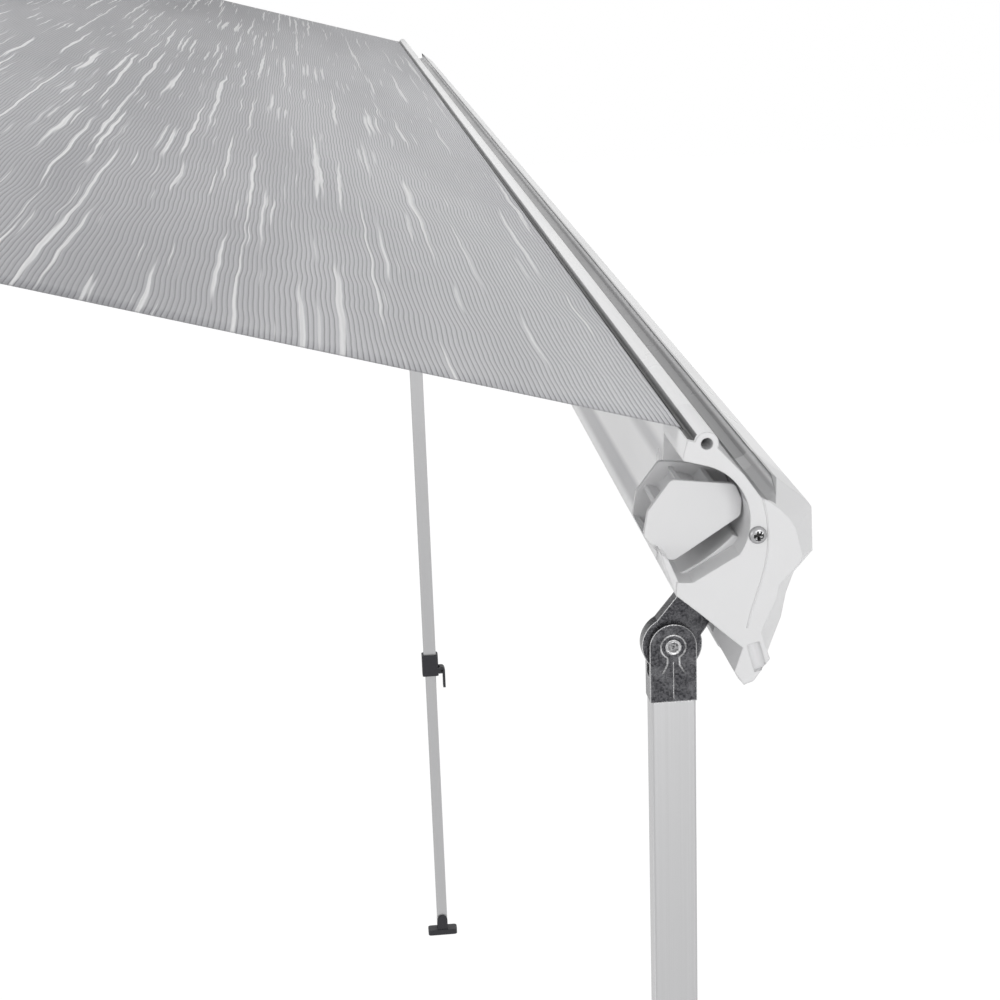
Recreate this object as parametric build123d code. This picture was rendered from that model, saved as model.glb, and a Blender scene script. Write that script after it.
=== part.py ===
"""Roll out awning for a caravan wall, in millimetres.

The frame has +Z up, X along the width and the caravan wall in the plane Y = 0, with the
awning reaching out towards -Y.  The origin is the middle of the centre wall bracket, on its
back face.  The awning is rolled out, with both legs hanging from the front rail.

Cross sections lie in two frames.  The wall frame has u, the distance out from the wall, and
z, the height.  The rail frame is tipped by the pitch of the fabric: a runs out and down the
slope and b runs square to it, upwards.  Its zero is the screw of the rail's end cap.
"""
import os
from math import asin, cos, degrees, pi, radians, sin, sqrt
from build123d import *

os.makedirs("parts", exist_ok=True)

# Whole awning
pitch_angle = 15.4
rail_length = 3000
arm_length = 955
shoulder_inset = 440
open_angle = 78
overrun = 1
seat_gap = 0.3
running_gap = 0.05

# Wall brackets
bracket_width = 90
bracket_thickness = 4
bracket_height = 176
bracket_inset = 400
bracket_hole_radius = 4.25
bracket_hole_across = 60
bracket_hole_up = 150
bracket_foot_reach = 46
bracket_hook_reach = 26
bracket_corner = 8

# Cassette
case_wall = 2.5
case_height = 116
case_flat_depth = 55
case_lip_depth = 139
case_sill_depth = 132
case_lip_drop = 25
case_lip_height = 5
case_sill_height = 4
case_top_above = 52
case_port_radius = 4.2
case_port_sink_share = 0.6
lip_port_in = 21
case_cap_length = 45
case_cap_wall = 3
case_corner = 5
case_bow_radius = 90

# Roller and its winding
roller_radius = 25
roller_wall = 1.8
roller_depth = 41
roller_height = 12
roller_end_gap = 8
keder_radius = 2.8
keder_wall = 1.6
keder_slot = 1.6
fabric_thickness = 0.6
fabric_turns = 3
fabric_edge_inset = 25
fabric_sag = 14
fabric_rise = 1.5
rod_radius = 2.3
rod_room_radius = 2.7
axle_radius = 6
plug_length = 30
plug_flange = 3
bush_radius = 11
bush_length = 16

# Gearbox and crank eye
gearbox_wall = 3
wheel_radius = 19
wheel_width = 9
wheel_teeth = 14
tooth_depth = 3
worm_radius = 6
worm_length = 30
worm_groove = 1.6
eye_radius = 15
eye_wire_radius = 3.5
eye_stem_length = 34

# Folding arms
upper_arm_width = 28
upper_arm_height = 42
forearm_width = 24
forearm_height = 36
arm_tube_wall = 2.2
arm_corner = 7
arm_side_gap = 1
joint_pin_radius = 5
joint_pin_head = 8
joint_pin_head_height = 3
ear_thickness = 6
ear_radius = 15
eye_half_height = 14
casting_neck = 34
casting_plug = 30
spring_radius = 9
spring_wire = 2
wrist_room = 17
shoulder_depth = 82
shoulder_height = -17
shoulder_web = 8
base_plate = 4

# Front rail, as measured on its end face
rail_depth = 80
rail_height = 125
rail_wall = 2
bead_tube_radius = 6.2
bead_bore_radius = 3.1
wrist_out = -69
wrist_up = -2.6
tube_place_shares = (-0.4875, 0.333)
wall_foot_shares = (-0.425, -0.324)
wall_mid_shares = (-0.512, -0.03)
wall_head_shares = (-0.6175, 0.272)
wall_tip_shares = (-0.6175, 0.33)
roof_end_shares = (0.335, -0.188)
slot_side_share = -0.589
rod_place_shares = (-0.57, 0.264)
gutter_shares = [(-0.41, 0.325), (-0.19, 0.236), (-0.044, 0.158), (0.0, 0.152), (0.05, 0.176)]
lip_shares = [(0.075, 0.206), (0.056, 0.222), (0.012, 0.246)]
fascia_shares = [(0.31, 0.160), (0.348, 0.139), (0.438, -0.045), (0.418, -0.072), (0.355, -0.155)]
skirt_shares = [(0.343, -0.25), (0.356, -0.36), (0.325, -0.59), (0.255, -0.657), (0.188, -0.668)]
skirt_tip_shares = (0.158, -0.657)

# End cap of the front rail
cap_length = 58
cap_wall = 2.5
cap_bevel_depth = 13
pocket_radius = 32
pocket_place_shares = (-0.46, -0.014)
ledge_end_shares = (-0.03, -0.066)
ledge_tip_shares = (-0.388, -0.292)
plate_foot_shares = [(-0.42, -0.327), (-0.23, -0.385), (0.016, -0.466), (0.111, -0.495)]
face_lip_shares = [(0.012, 0.15), (0.038, 0.143), (0.062, 0.136), (0.094, 0.127)]
face_side_shares = [(0.178, 0.094), (0.235, 0.058), (0.331, -0.05), (0.33, -0.078), (0.236, -0.193)]
face_skirt_shares = [(0.24, -0.265), (0.2, -0.411), (0.311, -0.52), (0.244, -0.632), (0.188, -0.656)]
cap_toe_shares = (0.1, -0.607)
screw_radius = 2.4
screw_head_radius = 4.75
screw_head_height = 2.6
screw_length = 22
screw_groove_radius = 3.4
screw_groove_shares = (0.172, -0.468)
screw_groove_run_shares = (0.1, -0.11)

# Docking block
block_near = 16
guide_reach = 16
guide_height = 10
block_hub_shares = (-0.42, 0.0)
block_plate = 3
block_rib = 2.4
block_corner = 4
block_hex_radius = 6
block_shares = [(-0.604, 0.124), (-0.181, 0.163), (-0.11, 0.105), (-0.088, 0.034), (-0.38, -0.172)]
block_low_shares = [(-0.443, -0.215), (-0.519, -0.216), (-0.684, -0.136), (-0.699, -0.029)]

# Legs and their knuckles
leg_gap = 3
leg_width = 25.5
leg_thickness = 15.3
leg_corner = 1.6
leg_wall = 1.4
leg_outer_length = 1100
leg_inner_width = 22
leg_inner_thickness = 11.8
leg_inner_length = 1120
leg_show_length = 570
pivot_in = 7.5
pivot_down = 43
leg_pin_in = 34
leg_pin_down = 83
leg_pin_radius = 3.2
leg_pin_head = 4.8
pin_head_height = 1.2
clevis_radius = 13.3
clevis_drop = 33
clevis_plug = 26
clevis_slot_drop = 18.6
tongue_thickness = 8.5
hub_radius = 17
knuckle_eye_radius = 8
knuckle_fork_width = 18
lug_width = 8
lug_neck = 12
hinge_pin_radius = 3
stem_width = 22
collar_height = 46
collar_wall = 4
lever_length = 40
lever_width = 16
lever_thickness = 5
cam_radius = 7
lever_pin_radius = 2
foot_length = 62
foot_width = 24
foot_height = 12
foot_neck = 22
foot_pin_radius = 2.5

# Directions and places that follow from the sizes above
slope_cos = cos(radians(pitch_angle))
slope_sin = sin(radians(pitch_angle))
out_dir = Vector(0, -slope_cos, -slope_sin)
up_dir = Vector(0, -slope_sin, slope_cos)
half_rail = rail_length / 2
shoulder_place = half_rail - shoulder_inset
bracket_spread = half_rail - bracket_inset
open_reach = 2 * arm_length * sin(radians(open_angle))
shoulder = Vector(-shoulder_place, -shoulder_depth, shoulder_height)
elbow = shoulder + Vector(arm_length * cos(radians(open_angle)), 0, 0) + out_dir * (open_reach / 2)
wrist = shoulder + out_dir * open_reach
rail_zero = wrist - out_dir * wrist_out - up_dir * wrist_up
case_top = case_top_above
case_bottom = case_top - case_height
case_back = bracket_thickness
winding_radius = roller_radius + running_gap + fabric_turns * fabric_thickness
gearbox_length = case_cap_length - case_cap_wall - gearbox_wall - seat_gap
extrusion_half = half_rail - cap_length
fabric_half = half_rail - fabric_edge_inset
leg_place = half_rail - cap_length - leg_gap - leg_thickness / 2


def rail_plane(x):
    """Plane across the rail at x: its x runs down the slope, its y square to it."""
    return Plane(origin=(x, rail_zero.Y, rail_zero.Z), x_dir=out_dir, z_dir=(-1, 0, 0))


def wall_plane(x):
    """Plane across the cassette at x: its x runs out from the wall, its y up."""
    return Plane(origin=(x, 0, 0), x_dir=(0, -1, 0), z_dir=(-1, 0, 0))


def arm_plane(origin, turn=0):
    """Plane of the folding arms at a point: x along the arm, turned from +X, z square up."""
    along = Vector(cos(radians(turn)), 0, 0) - out_dir * sin(radians(turn))
    return Plane(origin=origin, x_dir=along, z_dir=up_dir)


def between(plane_of, low, high, face):
    """Solid of a cross section from x = low to x = high."""
    return extrude(plane_of(high) * face, high - low)


def mirrored(part):
    """The same piece for the other end of the awning."""
    return mirror(part, about=Plane.YZ)


def at_shares(shares):
    """Point on the rail's section from its shares of the rail's depth and height."""
    return (shares[0] * rail_depth, shares[1] * rail_height)


def outline(points):
    """Face inside a closed polygon."""
    return make_face(Polyline(*points, close=True))


def disc(radius, place=(0, 0)):
    return Pos(place[0], place[1]) * Circle(radius)


def box_face(low, high):
    """Rectangle between two corners."""
    return Pos((low[0] + high[0]) / 2, (low[1] + high[1]) / 2) * Rectangle(
        high[0] - low[0], high[1] - low[1])


def pin(start, end, radius):
    """Round bar from one point to another."""
    start, end = Vector(*start), Vector(*end)
    way = end - start
    return extrude(Plane(origin=start, z_dir=way) * Circle(radius), way.length)


def rail_at(a, b, x=0):
    """World place of a point in the rail's frame."""
    return Vector(x, rail_zero.Y, rail_zero.Z) + out_dir * a + up_dir * b


def wall_at(u, z, x=0):
    """World place of a point in the wall's frame."""
    return Vector(x, -u, z)


def wall_bracket(x):
    """Steel bracket screwed to the wall: the cassette stands on its foot, under its hook."""
    plate = Box(bracket_width, bracket_thickness, bracket_height)
    plate = fillet(plate.edges().filter_by(Axis.Y), bracket_corner)
    plate = Pos(x, -bracket_thickness / 2, 0) * plate
    foot = Box(bracket_width, bracket_foot_reach, bracket_thickness)
    foot = Pos(x, -bracket_foot_reach / 2, case_bottom - bracket_thickness / 2) * foot
    hook = Box(bracket_width, bracket_hook_reach, bracket_thickness)
    hook = Pos(x, -bracket_hook_reach / 2, case_top + seat_gap + bracket_thickness / 2) * hook
    bracket = plate + foot + hook
    for across in (-bracket_hole_across / 2, bracket_hole_across / 2):
        for up in (-bracket_hole_up / 2, bracket_hole_up / 2):
            bracket -= pin((x + across, overrun, up), (x + across, -bracket_thickness - overrun, up),
                           bracket_hole_radius)
    bracket -= lock_screw_bore(x)
    return bracket


def lock_screw_place(x):
    return Vector(x, -(case_back + bracket_foot_reach) / 2, case_bottom)


def lock_screw_bore(x):
    top = lock_screw_place(x) + Vector(0, 0, case_wall + overrun)
    return pin(top, lock_screw_place(x) - Vector(0, 0, bracket_thickness + overrun),
               screw_radius + running_gap)


def lock_screw(x):
    """Screw up through the bracket's foot into the cassette's floor."""
    base = lock_screw_place(x) - Vector(0, 0, bracket_thickness)
    shank = pin(base, base + Vector(0, 0, bracket_thickness + 2 * case_wall), screw_radius)
    head = pin(base - Vector(0, 0, screw_head_height), base, screw_head_radius)
    return shank + head


def case_outline():
    """Outer line of the cassette, with its top bowed down to the lip."""
    lip_top = case_top - case_lip_drop
    points = [
        (case_back, case_bottom),
        (case_back, case_top),
        (case_back + case_flat_depth, case_top),
        (case_lip_depth, lip_top),
        (case_lip_depth, lip_top - case_lip_height),
        (case_sill_depth, case_bottom + case_sill_height),
        (case_sill_depth, case_bottom),
    ]
    face = outline(points)
    bow = face.vertices().sort_by_distance((case_back + case_flat_depth, case_top, 0))[0]
    face = fillet(bow, case_bow_radius)
    back = face.vertices().sort_by(Axis.X)[:2]
    return fillet(back, case_corner)


def case_mouth(depth):
    """The open front between the sill and the lip, cut through from a depth outwards."""
    low = case_bottom + case_sill_height
    high = case_top - case_lip_drop - case_lip_height
    return outline([(depth, low), (case_lip_depth + overrun, low),
                    (case_lip_depth + overrun, high), (depth, high)])


port_inset = case_wall + case_port_sink_share * case_port_radius
lip_fall = case_lip_drop / (case_lip_depth - case_back - case_flat_depth)
lip_port_depth = case_lip_depth - lip_port_in
case_ports = [
    (case_back + port_inset, case_bottom + port_inset),
    (case_back + port_inset, case_top - port_inset),
    (lip_port_depth, case_top - lip_fall * (lip_port_depth - case_back - case_flat_depth) - port_inset),
]


def case_section(wall, bored):
    """Open section of the cassette, with its screw ports."""
    outer = case_outline()
    section = outer - offset(outer, -wall, kind=Kind.INTERSECTION)
    section -= case_mouth(case_sill_depth - 4 * case_wall)
    for place in case_ports:
        section += disc(case_port_radius, place) & outer
    if bored:
        for place in case_ports:
            section -= disc(screw_radius, place)
    return section


def cassette():
    """Aluminium extrusion that holds the roller and the folded arms."""
    case = between(wall_plane, -half_rail, half_rail, case_section(case_wall, True))
    for x in (-bracket_spread, 0, bracket_spread):
        case -= lock_screw_bore(x)
    return case


def case_end_cap():
    """Moulded end of the cassette, closed at its outer side."""
    low = -half_rail - case_cap_length
    side = between(wall_plane, low, low + case_cap_wall, case_outline())
    shell = between(wall_plane, low, -half_rail, case_section(case_cap_wall, False))
    bush_seat = between(wall_plane, low, -half_rail - case_cap_length + bush_length + case_cap_wall,
                        disc(bush_radius + case_cap_wall, (roller_depth, roller_height)))
    cap = side + shell + bush_seat
    cap -= between(wall_plane, low + case_cap_wall, -half_rail + overrun,
                   disc(bush_radius, (roller_depth, roller_height)))
    for place in case_ports:
        cap -= between(wall_plane, low - overrun, -half_rail + overrun,
                       disc(screw_radius + running_gap, place))
    return cap


def case_cap_screws():
    """Screws that hold one end cap to the ports of the cassette."""
    screws = []
    low = -half_rail - case_cap_length
    for place in case_ports:
        shank = between(wall_plane, low, -half_rail + screw_length - case_cap_wall,
                        disc(screw_radius - running_gap, place))
        head = between(wall_plane, low - screw_head_height, low, disc(screw_head_radius, place))
        screws.append(shank + head)
    return screws


def roller_bush():
    """Plain bearing for the roller's axle, pressed into the left end cap."""
    low = -half_rail - case_cap_length + case_cap_wall
    ring = disc(bush_radius - running_gap, (roller_depth, roller_height))
    ring -= disc(axle_radius + running_gap, (roller_depth, roller_height))
    return between(wall_plane, low, low + bush_length, ring)


def roller_tube():
    """Rolled tube with a groove for the bead of the fabric."""
    groove_at = roller_radius - keder_radius - roller_wall / 2
    ring = Circle(roller_radius) - Circle(roller_radius - roller_wall)
    ring += disc(keder_radius + keder_wall, (0, groove_at)) & Circle(roller_radius)
    ring -= disc(keder_radius, (0, groove_at))
    ring -= box_face((-keder_slot / 2, groove_at), (keder_slot / 2, roller_radius + overrun))
    end = half_rail - roller_end_gap
    return between(wall_plane, -end, end, Pos(roller_depth, roller_height) * ring)


def plug_face():
    """Section of the end plugs, cut back where the tube's groove stands inwards."""
    groove_at = roller_radius - keder_radius - roller_wall / 2
    face = Circle(roller_radius - roller_wall - seat_gap)
    face -= disc(keder_radius + keder_wall + seat_gap, (0, groove_at))
    return Pos(roller_depth, roller_height) * face


def roller_plug_left():
    """Plug with the axle that turns in the left end cap."""
    end = -half_rail + roller_end_gap
    body = between(wall_plane, end, end + plug_length, plug_face())
    flange = between(wall_plane, end - plug_flange, end, disc(roller_radius, (roller_depth, roller_height)))
    axle_end = -half_rail - case_cap_length + case_cap_wall + seat_gap
    axle = between(wall_plane, axle_end, end, disc(axle_radius, (roller_depth, roller_height)))
    return body + flange + axle


def roller_plug_right():
    """Plug with the shaft that the worm wheel drives."""
    end = half_rail - roller_end_gap
    body = between(wall_plane, end - plug_length, end, plug_face())
    flange = between(wall_plane, end, end + plug_flange, disc(roller_radius, (roller_depth, roller_height)))
    shaft = between(wall_plane, end, half_rail + gearbox_wall + gearbox_length - seat_gap,
                    disc(axle_radius, (roller_depth, roller_height)))
    return body + flange + shaft


def fabric_winding():
    """The turns of fabric that stay on the roller when the awning is out."""
    ring = disc(winding_radius, (roller_depth, roller_height))
    ring -= disc(roller_radius + running_gap, (roller_depth, roller_height))
    return between(wall_plane, -fabric_half, fabric_half, ring)


gear_mid = half_rail + gearbox_wall + gearbox_length / 2
worm_depth = roller_depth + wheel_radius + worm_radius + seat_gap


def gearbox_housing():
    """Closed housing of the winding gear, inside the right end cap."""
    half = wheel_radius + seat_gap + gearbox_wall
    low = (roller_depth - half, roller_height - half)
    high = (worm_depth + worm_radius + seat_gap + gearbox_wall, roller_height + half)
    shell = between(wall_plane, gear_mid - gearbox_length / 2, gear_mid + gearbox_length / 2,
                    box_face(low, high))
    shell = fillet(shell.edges().filter_by(Axis.X), gearbox_wall)
    shell -= between(wall_plane, gear_mid - wheel_width / 2 - seat_gap, gear_mid + wheel_width / 2 + seat_gap,
                     disc(wheel_radius + seat_gap, (roller_depth, roller_height)))
    shell -= between(wall_plane, half_rail, half_rail + case_cap_length,
                     disc(axle_radius + running_gap, (roller_depth, roller_height)))
    worm_hole = pin(wall_at(worm_depth, roller_height - worm_length / 2 - seat_gap, gear_mid),
                    wall_at(worm_depth, roller_height + worm_length / 2 + seat_gap, gear_mid),
                    worm_radius + seat_gap)
    stem_hole = pin(wall_at(worm_depth, roller_height, gear_mid),
                    wall_at(worm_depth, roller_height - 2 * half, gear_mid), eye_wire_radius + running_gap)
    return shell - worm_hole - stem_hole


def worm_wheel():
    """Toothed wheel on the roller's shaft."""
    root = Circle(wheel_radius - tooth_depth)
    tooth_half = pi * wheel_radius / wheel_teeth / 2
    tooth = outline([(-tooth_half, 0), (tooth_half, 0), (tooth_half / 2, wheel_radius),
                     (-tooth_half / 2, wheel_radius)])
    for index in range(wheel_teeth):
        root += Rot(0, 0, 360 / wheel_teeth * index) * tooth
    root -= Circle(axle_radius + running_gap)
    return between(wall_plane, gear_mid - wheel_width / 2, gear_mid + wheel_width / 2,
                   Pos(roller_depth, roller_height) * root)


def crank_shaft():
    """Worm, stem and the eye that the crank handle hooks into."""
    top = roller_height + worm_length / 2
    worm = pin(wall_at(worm_depth, top - worm_length, gear_mid), wall_at(worm_depth, top, gear_mid),
               worm_radius)
    groove_count = 5
    for index in range(groove_count):
        middle = top - worm_length * (index + 1) / (groove_count + 1)
        ring = Circle(worm_radius + overrun) - Circle(worm_radius - worm_groove)
        worm -= extrude(Plane(origin=wall_at(worm_depth, middle, gear_mid)) * ring, worm_groove)
    stem_end = case_bottom - eye_stem_length
    stem = pin(wall_at(worm_depth, stem_end, gear_mid), wall_at(worm_depth, top - worm_length, gear_mid),
               eye_wire_radius)
    eye_at = wall_at(worm_depth, stem_end - eye_radius + eye_wire_radius / 2, gear_mid)
    eye = Plane(origin=eye_at, z_dir=(1, 0, 0)) * Torus(eye_radius, eye_wire_radius)
    return worm + stem + eye


def case_cap_right():
    """Right end cap: room for the gearbox and a hole for the crank's stem."""
    cap = mirrored(case_end_cap())
    low = half_rail + case_cap_length - bush_length - case_cap_wall
    cap -= between(wall_plane, low - overrun, half_rail + case_cap_length - case_cap_wall,
                   disc(bush_radius + case_cap_wall + overrun, (roller_depth, roller_height)))
    cap -= pin(wall_at(worm_depth, case_bottom - 2 * case_wall, gear_mid),
               wall_at(worm_depth, case_bottom + 2 * case_wall, gear_mid), 2 * eye_wire_radius)
    return cap


def shoulder_bracket():
    """Casting on the cassette's floor with two ears for the shoulder pin."""
    plane = arm_plane(shoulder)
    web_near = ear_radius + 2 * overrun
    ears = Pos(0, 0, eye_half_height + seat_gap) * extrude(
        Circle(ear_radius) + box_face((-web_near - shoulder_web, -ear_radius / 2), (0, ear_radius)),
        ear_thickness)
    both = ears + mirror(ears, about=Plane.XY)
    web_height = 2 * (eye_half_height + seat_gap + ear_thickness)
    web = Pos(-web_near - shoulder_web / 2, ear_radius / 4, 0) * Box(
        shoulder_web, 3 * ear_radius / 2, web_height)
    casting = plane * (both + web)
    floor = case_bottom + case_wall
    foot_depth = shoulder_depth - ear_radius
    foot = Box(4 * ear_radius, 2 * ear_radius, base_plate)
    foot_place = wall_at(foot_depth, floor + base_plate / 2, shoulder.X - ear_radius)
    foot = Pos(*foot_place) * foot
    post_top = shoulder_height - eye_half_height
    post_x = shoulder.X - web_near - shoulder_web / 2
    post = Box(shoulder_web, 3 * ear_radius / 2, post_top - floor)
    post = Pos(post_x, -foot_depth, (post_top + floor) / 2) * post
    casting = casting + foot + post
    casting -= plane * extrude(Circle(joint_pin_radius + running_gap), web_height, both=True)
    for x in (-1, 1):
        base = foot_place + Vector(x * 3 * ear_radius / 2, 0, 0)
        casting -= pin(base - Vector(0, 0, base_plate), base + Vector(0, 0, base_plate),
                       screw_radius + running_gap)
    return casting


def shoulder_screws():
    """Screws that hold one shoulder bracket down."""
    floor = case_bottom + case_wall
    foot_depth = shoulder_depth - ear_radius
    screws = []
    for x in (-1, 1):
        base = wall_at(foot_depth, floor, shoulder.X - ear_radius + x * 3 * ear_radius / 2)
        shank = pin(base, base + Vector(0, 0, base_plate), screw_radius)
        head = pin(base + Vector(0, 0, base_plate), base + Vector(0, 0, base_plate + screw_head_height),
                   screw_head_radius)
        screws.append(shank + head)
    return screws


def joint_pin(place, half_height):
    """Pin through two ears, with a head at each end."""
    plane = arm_plane(place)
    shank = extrude(Circle(joint_pin_radius), half_height, both=True)
    head = Pos(0, 0, half_height) * extrude(Circle(joint_pin_head), joint_pin_head_height)
    return plane * (shank + head + mirror(head, about=Plane.XY))


def tube_face(width, height, wall, corner):
    """Hollow rounded rectangle."""
    outer = RectangleRounded(width, height, corner)
    return outer - RectangleRounded(width - 2 * wall, height - 2 * wall, corner - wall)


upper_shift = (upper_arm_width + arm_side_gap) / 2
fore_shift = (forearm_width + arm_side_gap) / 2
upper_reach = sqrt(arm_length ** 2 - upper_shift ** 2)
fore_reach = sqrt(arm_length ** 2 - fore_shift ** 2)
upper_frame = arm_plane(shoulder, degrees(asin(upper_shift / arm_length)) - open_angle)
fore_frame = arm_plane(wrist, open_angle - degrees(asin(fore_shift / arm_length)))
fork_height = 2 * (eye_half_height + seat_gap + ear_thickness)


def arm_tube(frame, reach, width, height):
    """Tube of an arm, between the collars of its two castings."""
    section = Plane(origin=(casting_neck, 0, 0), x_dir=(0, 1, 0), z_dir=(1, 0, 0))
    section = section * tube_face(width, height, arm_tube_wall, arm_corner)
    return frame * extrude(section, reach - 2 * casting_neck)


def tube_plug(width, height, start):
    """Tongue of a casting that fills the end of an arm's tube."""
    inset = arm_tube_wall + seat_gap
    plug = RectangleRounded(width - 2 * inset, height - 2 * inset, arm_corner - inset)
    return extrude(Plane(origin=(start, 0, 0), x_dir=(0, 1, 0), z_dir=(1, 0, 0)) * plug, casting_plug)


def arm_inner_end(frame, width, height):
    """Casting with the eye that turns on the shoulder pin or the wrist pin."""
    eye = extrude(Circle(width / 2), eye_half_height, both=True)
    neck = Pos(casting_neck / 2, 0, 0) * Box(casting_neck, width, 2 * eye_half_height)
    collar = Box(ear_thickness, width, height)
    collar = Pos(casting_neck - ear_thickness / 2, 0, 0) * fillet(collar.edges().filter_by(Axis.X), arm_corner)
    casting = eye + neck + collar + tube_plug(width, height, casting_neck)
    return frame * (casting - extrude(Circle(joint_pin_radius + running_gap), height, both=True))


def upper_arm_elbow_end():
    """Fork that holds the elbow pin, set off to the side of its tube."""
    start = upper_reach - casting_neck
    ear = Pos(upper_reach, -upper_shift, 0) * Circle(ear_radius)
    ear += box_face((start, -upper_shift), (upper_reach, 0))
    ears = Pos(0, 0, eye_half_height + seat_gap) * extrude(ear, ear_thickness)
    ears += mirror(ears, about=Plane.XY)
    side = Box(casting_neck - ear_radius, upper_arm_width, fork_height)
    side = Pos(start + (casting_neck - ear_radius) / 2, 0, 0) * side
    collar = Box(ear_thickness, upper_arm_width, upper_arm_height)
    collar = Pos(start + ear_thickness / 2, 0, 0) * fillet(collar.edges().filter_by(Axis.X), arm_corner)
    casting = ears + side + collar + tube_plug(upper_arm_width, upper_arm_height, start - casting_plug)
    bore = extrude(Circle(joint_pin_radius), upper_arm_height, both=True)
    return upper_frame * (casting - Pos(upper_reach, -upper_shift, 0) * bore)


def forearm_elbow_end():
    """Casting with the eye that turns on the elbow pin, set off to the side of its tube."""
    start = fore_reach - casting_neck
    neck_end = fore_reach - ear_radius - 2 * overrun
    face = Pos(fore_reach, fore_shift, 0) * Circle(ear_radius - overrun)
    face += box_face((start, -forearm_width / 2), (neck_end, forearm_width / 2))
    face += box_face((start, 0), (fore_reach, fore_shift))
    collar = Box(ear_thickness, forearm_width, forearm_height)
    collar = Pos(start + ear_thickness / 2, 0, 0) * fillet(collar.edges().filter_by(Axis.X), arm_corner)
    casting = extrude(face, eye_half_height, both=True) + collar
    casting += tube_plug(forearm_width, forearm_height, start - casting_plug)
    bore = extrude(Circle(joint_pin_radius + running_gap), forearm_height, both=True)
    return fore_frame * (casting - Pos(fore_reach, fore_shift, 0) * bore)


def arm_spring():
    """Tension spring inside the upper arm, as a sleeve of its coils."""
    start = casting_neck + casting_plug + seat_gap
    ring = Circle(spring_radius) - Circle(spring_radius - spring_wire)
    spring = extrude(Plane(origin=(start, 0, 0), z_dir=(1, 0, 0)) * ring, upper_reach - 2 * start)
    return upper_frame * spring


def wrist_bracket():
    """Casting on the rail's inner wall with two ears for the wrist pin."""
    back_reach = -wrist_out
    ear = Circle(ear_radius) + box_face((-ear_radius, -wrist_room - ear_thickness), (ear_radius, 0))
    ear = Pos(0, 0, eye_half_height + seat_gap) * extrude(ear, ear_thickness)
    back = Pos(0, -(wrist_room + back_reach) / 2, 0) * Box(2 * ear_radius, back_reach - wrist_room, fork_height)
    casting = arm_plane(wrist) * (ear + mirror(ear, about=Plane.XY) + back)
    casting -= between(rail_plane, -shoulder_place - 2 * ear_radius, -shoulder_place + 2 * ear_radius,
                       offset(rail_shape(), seat_gap))
    casting = casting.solids().sort_by(Axis.Y)[-1]
    return casting - arm_plane(wrist) * extrude(Circle(joint_pin_radius), fork_height, both=True)


def rail_shape():
    """Whole outer shape of the rail's upper part, without its chambers."""
    tube_at = at_shares(tube_place_shares)
    points = [at_shares(wall_foot_shares), at_shares(wall_mid_shares), at_shares(wall_head_shares),
              at_shares(wall_tip_shares)]
    points += [(tube_at[0], at_shares(wall_tip_shares)[1])]
    points += [at_shares(point) for point in gutter_shares]
    points += [at_shares(point) for point in lip_shares]
    points += [at_shares(point) for point in fascia_shares]
    points += [at_shares(roof_end_shares)]
    return outline(points) + disc(bead_tube_radius, tube_at)


def skirt_shape():
    """The skirt of the rail that hides the folded legs."""
    tip = at_shares(skirt_tip_shares)
    roof = at_shares(roof_end_shares)
    points = [roof, at_shares(fascia_shares[-1])] + [at_shares(point) for point in skirt_shares]
    points += [tip, (tip[0], roof[1])]
    whole = outline(points)
    inside = offset(whole, -rail_wall, kind=Kind.INTERSECTION)
    inside += box_face((tip[0] - rail_wall, tip[1] + rail_wall), (tip[0] + 2 * rail_wall, roof[1] - rail_wall))
    return whole - inside


def rod_room():
    """Chamber and slot that the rod and the edge of the fabric lie in."""
    place = at_shares(rod_place_shares)
    slot_at = slot_side_share * rail_depth
    return disc(rod_room_radius, place) + box_face(
        (slot_at - keder_slot / 2, place[1]), (slot_at + keder_slot / 2, place[1] + rail_height))


def front_rail():
    """Aluminium front rail: bead tube, gutter, fascia, inner wall and leg channel."""
    shape = rail_shape()
    tube_at = at_shares(tube_place_shares)
    hollow = offset(shape, -rail_wall, kind=Kind.INTERSECTION)
    hollow = hollow.faces().sort_by(SortBy.AREA)[-1]
    web_at = at_shares(gutter_shares[3])[0]
    hollow -= box_face((web_at - rail_wall / 2, -rail_height), (web_at + rail_wall / 2, rail_height))
    hollow -= disc(screw_radius + rail_wall)
    hollow -= disc(bead_tube_radius, tube_at)
    hollow -= disc(rod_room_radius + keder_wall, at_shares(rod_place_shares))
    section = shape - hollow - rod_room()
    section -= disc(bead_bore_radius, tube_at)
    section -= disc(screw_radius)
    section += skirt_shape()
    return between(rail_plane, -extrusion_half, extrusion_half, section)


def cap_outline(bevelled):
    """Outline of the rail's end cap, on its face or behind its bevel."""
    if bevelled:
        bevel = face_lip_shares + face_side_shares + face_skirt_shares
    else:
        bevel = gutter_shares[-1:] + lip_shares + fascia_shares + skirt_shares
    shares = plate_foot_shares + [cap_toe_shares] + bevel[::-1] + gutter_shares[-2::-1]
    points = [at_shares(point) for point in shares]
    points += [(at_shares(tube_place_shares)[0], at_shares(wall_tip_shares)[1])]
    return points + [at_shares(point) for point in (wall_tip_shares, wall_head_shares, wall_mid_shares)]


def pocket_shape():
    """Pocket of the end cap, open towards the cassette, with its sloping ledge."""
    centre = at_shares(pocket_place_shares)
    reach = rail_height
    pocket = disc(pocket_radius, centre)
    pocket += box_face((-reach, -reach), (centre[0], centre[1] + pocket_radius))
    tip = at_shares(ledge_tip_shares)
    end = at_shares(ledge_end_shares)
    slope = (end[1] - tip[1]) / (end[0] - tip[0])
    below = outline([(-reach, tip[1] - slope * (reach + tip[0])), (reach, end[1] + slope * (reach - end[0])),
                     (reach, -2 * reach), (-reach, -2 * reach)])
    return pocket - below


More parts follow.
